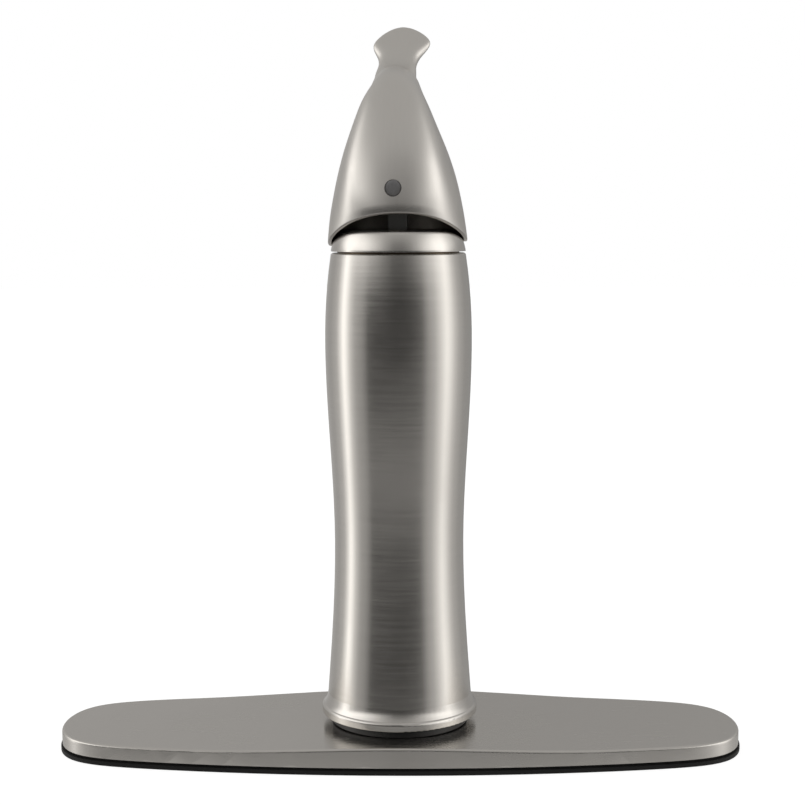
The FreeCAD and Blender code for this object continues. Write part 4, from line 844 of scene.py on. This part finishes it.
@dataclass
class Deck(SubAssembly):
    """Ring under the column, and the fixing that reaches through the deck."""

    shank_radius: float = 16.6
    shank_bore: float = 14.0
    shank_bottom: float = -60.0
    thread_top: float = -3.0
    thread_pitch: float = 1.5
    plate_top: float = 9.9
    ring_floor: float = 1.2
    ring_radius: float = 26.0
    ring_top: float = 13.0
    flange_radius: float = 22.3
    flange_height: float = 3.0
    spigot_radius: float = 18.5
    groove_depth: float = 1.2
    bore_radius: float = 17.5
    nut_corner: float = 27.0

    def build(self) -> None:
        """Build the pieces under the column."""
        self.ring()
        self.shank()
        for node, finish, slot, width in (
                ("rubber_washer", "rubber", "black_rubber", 0.5),
                ("clamp_washer", "steel", "steel", 0.3)):
            piece = Bench.copy_of(node, node + "_rounded")
            Bench.soften(piece, width)
            Bench.smooth(piece)
            self.stand_in(piece, node, finish, slot)
        self.nut()

    def ring(self) -> None:
        """Black ring between plate and column, with rounded edges."""
        low, floor, top = self.plate_top, self.plate_top + self.ring_floor, self.ring_top
        inner = self.flange_radius + 0.3
        ring = Bench.lathe("ring_under_column", (
            (self.bore_radius, low), (self.ring_radius, low), (self.ring_radius, top),
            (inner, top), (inner, floor), (self.bore_radius, floor)), 0.35, 128)
        self.stand_in(ring, "base_ring", "acetal", "black_acetal")

    def shank(self) -> None:
        """Flanged spigot with a real screw thread below the deck."""
        floor = self.plate_top + self.ring_floor
        flange_top = floor + self.flange_height
        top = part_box("mounting_shank")[1][2] / MM
        groove_low, groove_top = (corner[2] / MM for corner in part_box("snap_ring"))
        core = self.shank_radius - 0.9
        spigot, groove = self.spigot_radius, self.spigot_radius - self.groove_depth
        body = Bench.lathe("threaded_shank", (
            (self.shank_bore, self.shank_bottom), (core - 0.6, self.shank_bottom),
            (core, self.shank_bottom + 0.6), (core, self.thread_top),
            (self.shank_radius, self.thread_top + 0.8), (self.shank_radius, floor),
            (self.flange_radius, floor), (self.flange_radius, flange_top),
            (spigot, flange_top), (spigot, groove_low), (groove, groove_low),
            (groove, groove_top), (spigot, groove_top), (spigot - 0.5, top),
            (self.shank_bore, top)), 0.2)
        thread = Bench.thread("shank_thread", self.shank_radius, self.thread_pitch,
                              self.shank_bottom + 0.8, self.thread_top + 0.6)
        self.stand_in(Bench.join((body, thread)), "mounting_shank", "brass", "brass")

    def nut(self) -> None:
        """Hexagonal nut with chamfered corners."""
        low, high = (corner[2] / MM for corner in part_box("mounting_nut"))
        wide, narrow = self.nut_corner + 0.2, self.nut_corner - 2.4
        nut = Bench.copy_of("mounting_nut", "chamfered_nut")
        cone = Bench.lathe("nut_turning", (
            (0.0, low), (narrow, low), (wide, low + 1.5), (wide, high - 1.5), (narrow, high),
            (0.0, high)))
        Bench.combine(nut, cone, "INTERSECT")
        Bench.close(nut)
        Bench.soften(nut, 0.2, 2)
        Bench.smooth(nut)
        self.stand_in(nut, "mounting_nut", "brass", "brass")


@dataclass
class Column(SubAssembly):
    """Cap on the column and unions under it."""

    pivot: float = 184.5
    cap_radius: float = 25.5
    cap_bottom: float = 188.6
    cap_top: float = 196.8
    cap_wall: float = 1.6
    cap_base: float = 2.0
    cap_thread: float = 19.55
    cap_mouth: float = 12.5
    cap_steps: int = 8
    nipple_radius: float = 5.0
    nipple_bore: float = 4.05

    def build(self) -> None:
        """Build the cap and the unions with their threads."""
        self.cap()
        for name in ("hot", "cold", "outlet"):
            self.nipple(name)

    def dome(self, radius: float, start: float, rise: float) -> list[Point]:
        """Points of a sphere about the pivot, from one height over a rise."""
        heights = (start + rise * i / self.cap_steps for i in range(self.cap_steps + 1))
        return [(math.sqrt(radius ** 2 - (z - self.pivot) ** 2), z) for z in heights]

    def cap(self) -> None:
        """Domed cap with a softly rounded upper edge."""
        low, high = self.cap_bottom, self.cap_top
        floor, ceiling = low + self.cap_base, high - self.cap_wall
        outer = self.dome(self.cap_radius, low, high - 1.1 - low)
        edge = self.dome(self.cap_radius, high - 1.1, 0.0)[0][0]
        inner = self.dome(self.cap_radius - self.cap_wall, ceiling, floor - ceiling)
        cap = Bench.lathe("domed_cap", (
            (self.cap_thread, low), *outer, (edge - 0.75, high - 0.42),
            (edge - 1.45, high - 0.12), (edge - 2.4, high), (self.cap_mouth, high),
            (self.cap_mouth, ceiling), *inner, (self.cap_thread, floor)), 0.25, 160)
        self.stand_in(cap, "trim_cap", "turned", "satin_nickel")

    def nipple(self, side: str) -> None:
        """Threaded union on the end of one tube."""
        node = side + "_nipple"
        low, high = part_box(node)
        at = Matrix.Translation(((low[0] + high[0]) / 2, (low[1] + high[1]) / 2, 0))
        bottom, top = low[2] / MM, high[2] / MM
        core = self.nipple_radius - 0.55
        bore = self.nipple_bore
        body = Bench.lathe(side + "_union", (
            (bore, bottom), (core - 0.4, bottom), (core, bottom + 0.4), (core, top - 3.5),
            (self.nipple_radius, top - 3.0), (self.nipple_radius, top), (bore, top)), 0.12, 48,
            at)
        thread = Bench.thread(side + "_union_thread", self.nipple_radius, 1.0, bottom + 0.3,
                              top - 3.2, at)
        self.stand_in(Bench.join((body, thread)), node, "brass", "brass")


@dataclass
class Lever(SubAssembly):
    """Hood-shaped lever with its narrow neck, flared tip, screw and plug."""

    turn: float = 1.7
    lean: float = 1.77
    pivot: float = 184.5
    wall: float = 1.4
    rim_height: float = 191.3
    rear_rise: float = 11.9
    boss_bottom: float = 206.5
    boss_radius: float = 8.0
    screw_height: float = 211.5
    plug_radius: float = 2.95
    around: int = 112
    along: int = 64
    hollow_end: float = 0.44
    # share of the length, rear (y, z), front (y, z), half width, how far right of the middle
    stations: tuple = (
        (0.00, -26.3, 188.8, 26.3, 188.8, 26.30, 0.00),
        (0.16, -24.2, 208.5, 26.6, 203.0, 24.67, 0.00),
        (0.32, -17.5, 228.5, 28.6, 218.0, 20.58, -0.10),
        (0.46, -7.0, 244.5, 32.6, 231.0, 15.14, -0.10),
        (0.57, 4.5, 253.8, 37.2, 240.5, 11.25, 0.05),
        (0.68, 20.0, 258.1, 42.8, 248.3, 9.25, -0.20),
        (0.79, 37.0, 259.7, 49.0, 254.6, 8.25, -0.44),
        (0.89, 50.0, 266.6, 56.0, 262.1, 8.71, 0.85),
        (0.945, 55.2, 272.2, 59.4, 269.2, 14.11, 2.04),
        (1.00, 59.5, 278.15, 62.2, 276.15, 13.20, 2.24),
    )
    # half of the section with its flat rear panel, from the rear round to the front
    panel: tuple = ((0.0, 1.0), (0.35, 0.972), (0.61, 0.885), (0.77, 0.725), (0.88, 0.45),
                    (0.96, 0.09), (1.0, -0.28), (0.95, -0.62), (0.72, -0.87), (0.37, -0.975),
                    (0.0, -1.0))
    # the same at the crest, where the panel ends in a narrow arch
    arch: tuple = ((0.0, 1.0), (0.25, 0.952), (0.46, 0.81), (0.63, 0.58), (0.79, 0.32),
                   (0.93, 0.07), (1.0, -0.22), (0.95, -0.6), (0.71, -0.87), (0.36, -0.975),
                   (0.0, -1.0))
    tip_start: float = 0.86
    # where along the lever each of the two begins, how fast, where it ends, how fast
    panel_span: tuple = (0.02, 0.26, 0.66, 0.2)
    arch_span: tuple = (0.46, 0.2, 0.86, 0.14)
    lip: float = 0.35
    hollow_steps: int = 18
    boss_top: float = 232.0
    socket_top: float = 227.1
    socket_width: float = 7.1
    screw_boss_radius: float = 4.2

    def build(self) -> None:
        """Build the lever and its plug."""
        self.handle()
        self.plug()

    def slope(self, index: int, column: int) -> float:
        """Slope of one column of the stations at one station."""
        rows = self.stations[max(index - 1, 0):index + 2]
        steps = [(b[0] - a[0], (b[column] - a[column]) / (b[0] - a[0]))
                 for a, b in zip(rows, rows[1:])]
        (before, arriving), (after, leaving) = steps[0], steps[-1]
        return (leaving * before + arriving * after) / (before + after)

    def form(self, share: float) -> list[float]:
        """Measures of the lever at a share of its length, smooth between the stations."""
        rows = self.stations
        after = next((i for i, row in enumerate(rows) if i and row[0] >= share), len(rows) - 1)
        start, end = rows[after - 1], rows[after]
        gap = end[0] - start[0]
        u = (share - start[0]) / gap
        return [cubic(u, start[c], gap * self.slope(after - 1, c), end[c],
                      gap * self.slope(after, c)) for c in range(1, len(start))]

    def point(self, share: float, angle: float, inset: float) -> Vector:
        """Point of the surface.

        Args:
            share: Share of the lever's length.
            angle: Angle round the section, 0 at the rear.
            inset: Distance inside the outer surface.

        Returns:
            The point in millimetres.
        """
        rear_y, rear_z, front_y, front_z, width, aside = self.form(share)
        into_tip = max(0.0, (share - self.tip_start) / (1 - self.tip_start))
        width = width * math.sqrt(max(1 - into_tip ** 2, 0.0004)) - inset
        middle = Vector((0, (rear_y + front_y) / 2, (rear_z + front_z) / 2))
        half = Vector((0, (rear_y - front_y) / 2, (rear_z - front_z) / 2))
        half = half * math.sqrt(1 - 0.98 * into_tip ** 3.5)
        half = half * (1 - inset / half.length)
        flat, arched = (self.ease((share - start) / rise) * self.ease((end - share) / fall)
                        for start, rise, end, fall in (self.panel_span, self.arch_span))
        side, rear = (
            even * (1 - flat - arched) + panel * flat + arch * arched for even, panel, arch in zip(
                (math.sin(angle), math.cos(angle)), self.section(self.panel, angle),
                self.section(self.arch, angle)))
        return middle + half * rear + Vector((width * side + aside, 0, 0))

    @staticmethod
    def ease(share: float) -> float:
        """Smooth step between 0 and 1."""
        share = min(max(share, 0.0), 1.0)
        return share * share * (3 - 2 * share)

    @staticmethod
    def section(marks: Sequence[Point], angle: float) -> Point:
        """Point of a section through its marks, as shares to the side and to the rear."""
        turn = (angle + math.pi) % (2 * math.pi) - math.pi
        place = abs(turn) / math.pi * (len(marks) - 1)
        start = min(int(place), len(marks) - 2)
        mirrored = [(-side, rear) for side, rear in (marks[1], marks[-2])]
        before, first, then, after = (mirrored[0], *marks, mirrored[1])[start:start + 4]
        side, rear = (cubic(place - start, first[c], (then[c] - before[c]) / 2, then[c],
                            (after[c] - first[c]) / 2) for c in (0, 1))
        return math.copysign(side, turn), rear

    def rim(self, y: float) -> float:
        """Height of the rim at a depth: level in front, rising towards the rear."""
        share = min(max((-y + 4.0) / 30.0, 0.0), 1.0)
        return self.rim_height + self.rear_rise * share ** 1.35

    def rim_share(self, angle: float, inset: float, lift: float) -> float:
        """Share of the length at which the surface meets the rim."""
        low, high = -0.02, 0.3
        for _ in range(26):
            middle = (low + high) / 2
            place = self.point(max(middle, 0.0), angle, inset)
            if place.z < self.rim(place.y) + lift:
                low = middle
            else:
                high = middle
        return max(high, 0.0)

    def handle(self) -> None:
        """One shell: hollow inside, rounded rim, outside and flared tip."""
        angles = [2 * math.pi * i / self.around for i in range(self.around)]
        lip, wall = self.lip, self.wall
        inner = [self.rim_share(a, wall, lip) for a in angles]
        outer = [self.rim_share(a, 0.0, lip) for a in angles]
        rings = []
        for row in range(self.hollow_steps, -1, -1):
            u = row / self.hollow_steps
            rings.append([self.point(s + (self.hollow_end - s) * u, a, wall)
                          for s, a in zip(inner, angles)])
        for inset, lift in ((wall - 0.1, 0.1), (wall - lip, 0.0), (lip, 0.0), (0.1, 0.1)):
            rings.append([self.point(self.rim_share(a, inset, lift), a, inset) for a in angles])
        for row in range(self.along + 1):
            eased = 1 - (1 - row / self.along) ** 1.8
            rings.append([self.point(min(s + (1 - s) * eased, 0.9995), a, 0.0)
                          for s, a in zip(outer, angles)])
        handle = Bench.loft("hood_lever", rings)
        self.bosses(handle)
        Bench.close(handle)
        Bench.smooth(handle, 38)
        handle.data.transform(self.rest())
        self.stand_in(handle, "handle", "satin", "satin_nickel")

    def rest(self) -> Matrix:
        """The lever's small turn and lean at rest, about its pivot."""
        pivot = Matrix.Translation((0, 0, self.pivot * MM))
        lean = pivot @ Matrix.Rotation(-self.lean * DEGREE, 4, "Y") @ pivot.inverted()
        return Matrix.Rotation(-self.turn * DEGREE, 4, "Z") @ lean

    def bosses(self, handle: Piece) -> None:
        """Add the stem's and the screw's bosses, and drill them."""
        at_screw = self.at_screw()
        Bench.combine(handle, Bench.rod("stem_boss", self.boss_radius, self.boss_bottom,
                                        self.boss_top, 48), "UNION")
        Bench.combine(handle, Bench.rod("screw_boss", self.screw_boss_radius, 2.0, 21.8,
                                        at=at_screw), "UNION")
        Bench.clear()
        bpy.ops.mesh.primitive_cube_add(size=1)
        socket = bpy.context.object
        low, high, width = self.boss_bottom - 6, self.socket_top, self.socket_width * MM
        socket.data.transform(Matrix.Translation((0, 0, (low + high) / 2 * MM))
                              @ Matrix.Diagonal((width, width, (high - low) * MM, 1)))
        Bench.combine(handle, socket, "DIFFERENCE")
        wide = self.plug_radius + 0.1
        drill = Bench.lathe("screw_drill", (
            (0.0, 3.0), (2.55, 3.0), (2.55, 12.0), (wide, 12.0), (wide, 30.0), (0.0, 30.0)),
            0.0, 40, at_screw)
        Bench.combine(handle, drill, "DIFFERENCE")

    def at_screw(self) -> Matrix:
        """Place on the middle line at the screw's height, with its Z to the rear."""
        return (Matrix.Translation((0, 0, self.screw_height * MM))
                @ Matrix.Rotation(90 * DEGREE, 4, "X"))

    def plug(self) -> None:
        """Slightly domed plug over the screw, with a rounded edge."""
        radius = self.plug_radius
        reach = -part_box("screw_plug")[0][1] / MM
        plug = Bench.lathe("domed_plug", (
            (0.0, reach - 3.0), (radius - 0.2, reach - 3.0), (radius, reach - 2.6),
            (radius, reach - 0.75), (radius - 0.14, reach - 0.42), (radius - 0.5, reach - 0.22),
            (radius * 0.55, reach - 0.07), (0.0, reach - 0.02)), 0.0, 48,
            self.rest() @ self.at_screw())
        self.stand_in(plug, "screw_plug", "grey", "grey_plastic")


@dataclass
class Wand(SubAssembly):
    """Pull-out spray wand."""

    face_front: float = 13.2
    nozzle_circle: float = 13.4
    nozzles: int = 16
    aerator_radius: float = 6.05
    aerator_cells: int = 15
    wire: float = 0.22
    bend: float = 100.0

    def build(self) -> None:
        """Build the button, the nozzles and the aerator's mesh."""
        self.rocker()
        self.nozzle_ring()
        self.mesh_insert()

    def rocker(self) -> None:
        """Rocking button with rounded edges."""
        button = Bench.copy_of("spray_rocker", "rocker_button")
        Bench.soften(button, 0.5, 3, 40)
        Bench.smooth(button, 40)
        self.stand_in(button, "spray_rocker", "rubber", "black_acetal")

    def nozzle_ring(self) -> None:
        """Soft nozzles in the face's holes."""
        head = SPOUT.bent_frame(self.bend, 0)
        front = self.face_front
        outline = ((0.35, front - 2.0), (0.78, front - 2.0), (0.78, front - 0.05),
                   (1.25, front - 0.02), (1.15, front + 0.12), (0.72, front + 0.38),
                   (0.42, front + 0.38), (0.35, front + 0.1))
        out = Matrix.Translation((self.nozzle_circle * MM, 0, 0))
        nozzles = Bench.join([
            Bench.lathe(f"nozzle_{i}", outline, 0.0, 20,
                        head @ Matrix.Rotation(2 * math.pi * i / self.nozzles, 4, "Z") @ out)
            for i in range(self.nozzles)])
        nozzles.name = nozzles.data.name = "soft_nozzles"
        self.fit_out(nozzles, "spray_face", "grey", "grey_plastic")

    def mesh_insert(self) -> None:
        """Fine square mesh in the aerator's mouth."""
        reach = self.aerator_radius * MM
        Bench.clear()
        bpy.ops.mesh.primitive_grid_add(x_subdivisions=self.aerator_cells,
                                        y_subdivisions=self.aerator_cells, size=2 * reach)
        mesh = Bench.named("aerator_mesh")
        with Bench.editing(mesh):
            for face in bmesh.from_edit_mesh(mesh.data).faces:
                face.select_set(face.calc_center_median().length > reach * 0.97)
            bpy.ops.mesh.delete(type="FACE")
        Bench.change(mesh, "WIREFRAME", thickness=self.wire * MM, use_even_offset=True)
        mesh.data.transform(SPOUT.bent_frame(self.bend, self.face_front - 1.4))
        self.fit_out(mesh, "aerator", "nylon", "white_nylon")


@dataclass
class Hose(SubAssembly):
    """Braided hose, upright below the deck, bent into the branch and straight along it."""

    radius: float = 6.5
    forward: float = 7.0
    bend_radius: float = 50.0
    below_deck: float = 72.0
    run_end: float = 72.0
    upright_steps: int = 8
    bend_steps: int = 20
    straight_steps: int = 24
    facets: int = 36

    def build(self) -> None:
        """Build the hose and blend it from the column to the wand."""
        upright, axis = Vector((0, 0, 1)), SPOUT.axis()
        turn = math.pi / 2 - SPOUT.angle * DEGREE
        foot = Vector((0, self.forward, -self.below_deck))
        reach = self.forward / math.cos(SPOUT.angle * DEGREE)
        corner = Vector((0, self.forward, SPOUT.root_height + reach * axis.z))
        bend_start = corner - upright * self.bend_radius * math.tan(turn / 2)
        line = [(foot.lerp(bend_start, i / self.upright_steps), upright)
                for i in range(self.upright_steps + 1)]
        for i in range(1, self.bend_steps + 1):
            angle = turn * i / self.bend_steps
            moved = Vector((0, 1 - math.cos(angle), math.sin(angle))) * self.bend_radius
            line.append((bend_start + moved, Vector((0, math.sin(angle), math.cos(angle)))))
        start = line[-1][0]
        end = Vector((0, 0, SPOUT.root_height)) + axis * self.run_end
        line += [(start.lerp(end, i / self.straight_steps), axis)
                 for i in range(1, self.straight_steps + 1)]
        hose = Bench.loft("braided_hose", [self.ring(place, way) for place, way in line])
        Bench.smooth(hose, 50)
        self.finishes.give(hose, "braid")
        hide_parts("pull_hose")
        log.info("braided_hose takes the place of pull_hose")
        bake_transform(hose)

    def ring(self, place: Vector, way: Vector) -> list[Vector]:
        """Circle of points about the hose's middle line."""
        side = Vector((1, 0, 0))
        up = way.cross(side)
        angles = (2 * math.pi * i / self.facets for i in range(self.facets))
        return [place + (side * math.cos(a) + up * math.sin(a)) * self.radius for a in angles]


def main() -> None:
    """Build the faucet's looks, one sub-assembly after another."""
    logging.basicConfig(level=logging.INFO, format="%(message)s")
    bpy.context.scene.view_settings.view_transform = "Standard"
    Studio().build()
    finishes = Finishes()
    for group in (Kept, Deck, Column, Lever, Wand, Hose):
        group(finishes).build()
        log.info("%s done", group.__name__)


if __name__ == "__main__":
    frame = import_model()
    main()
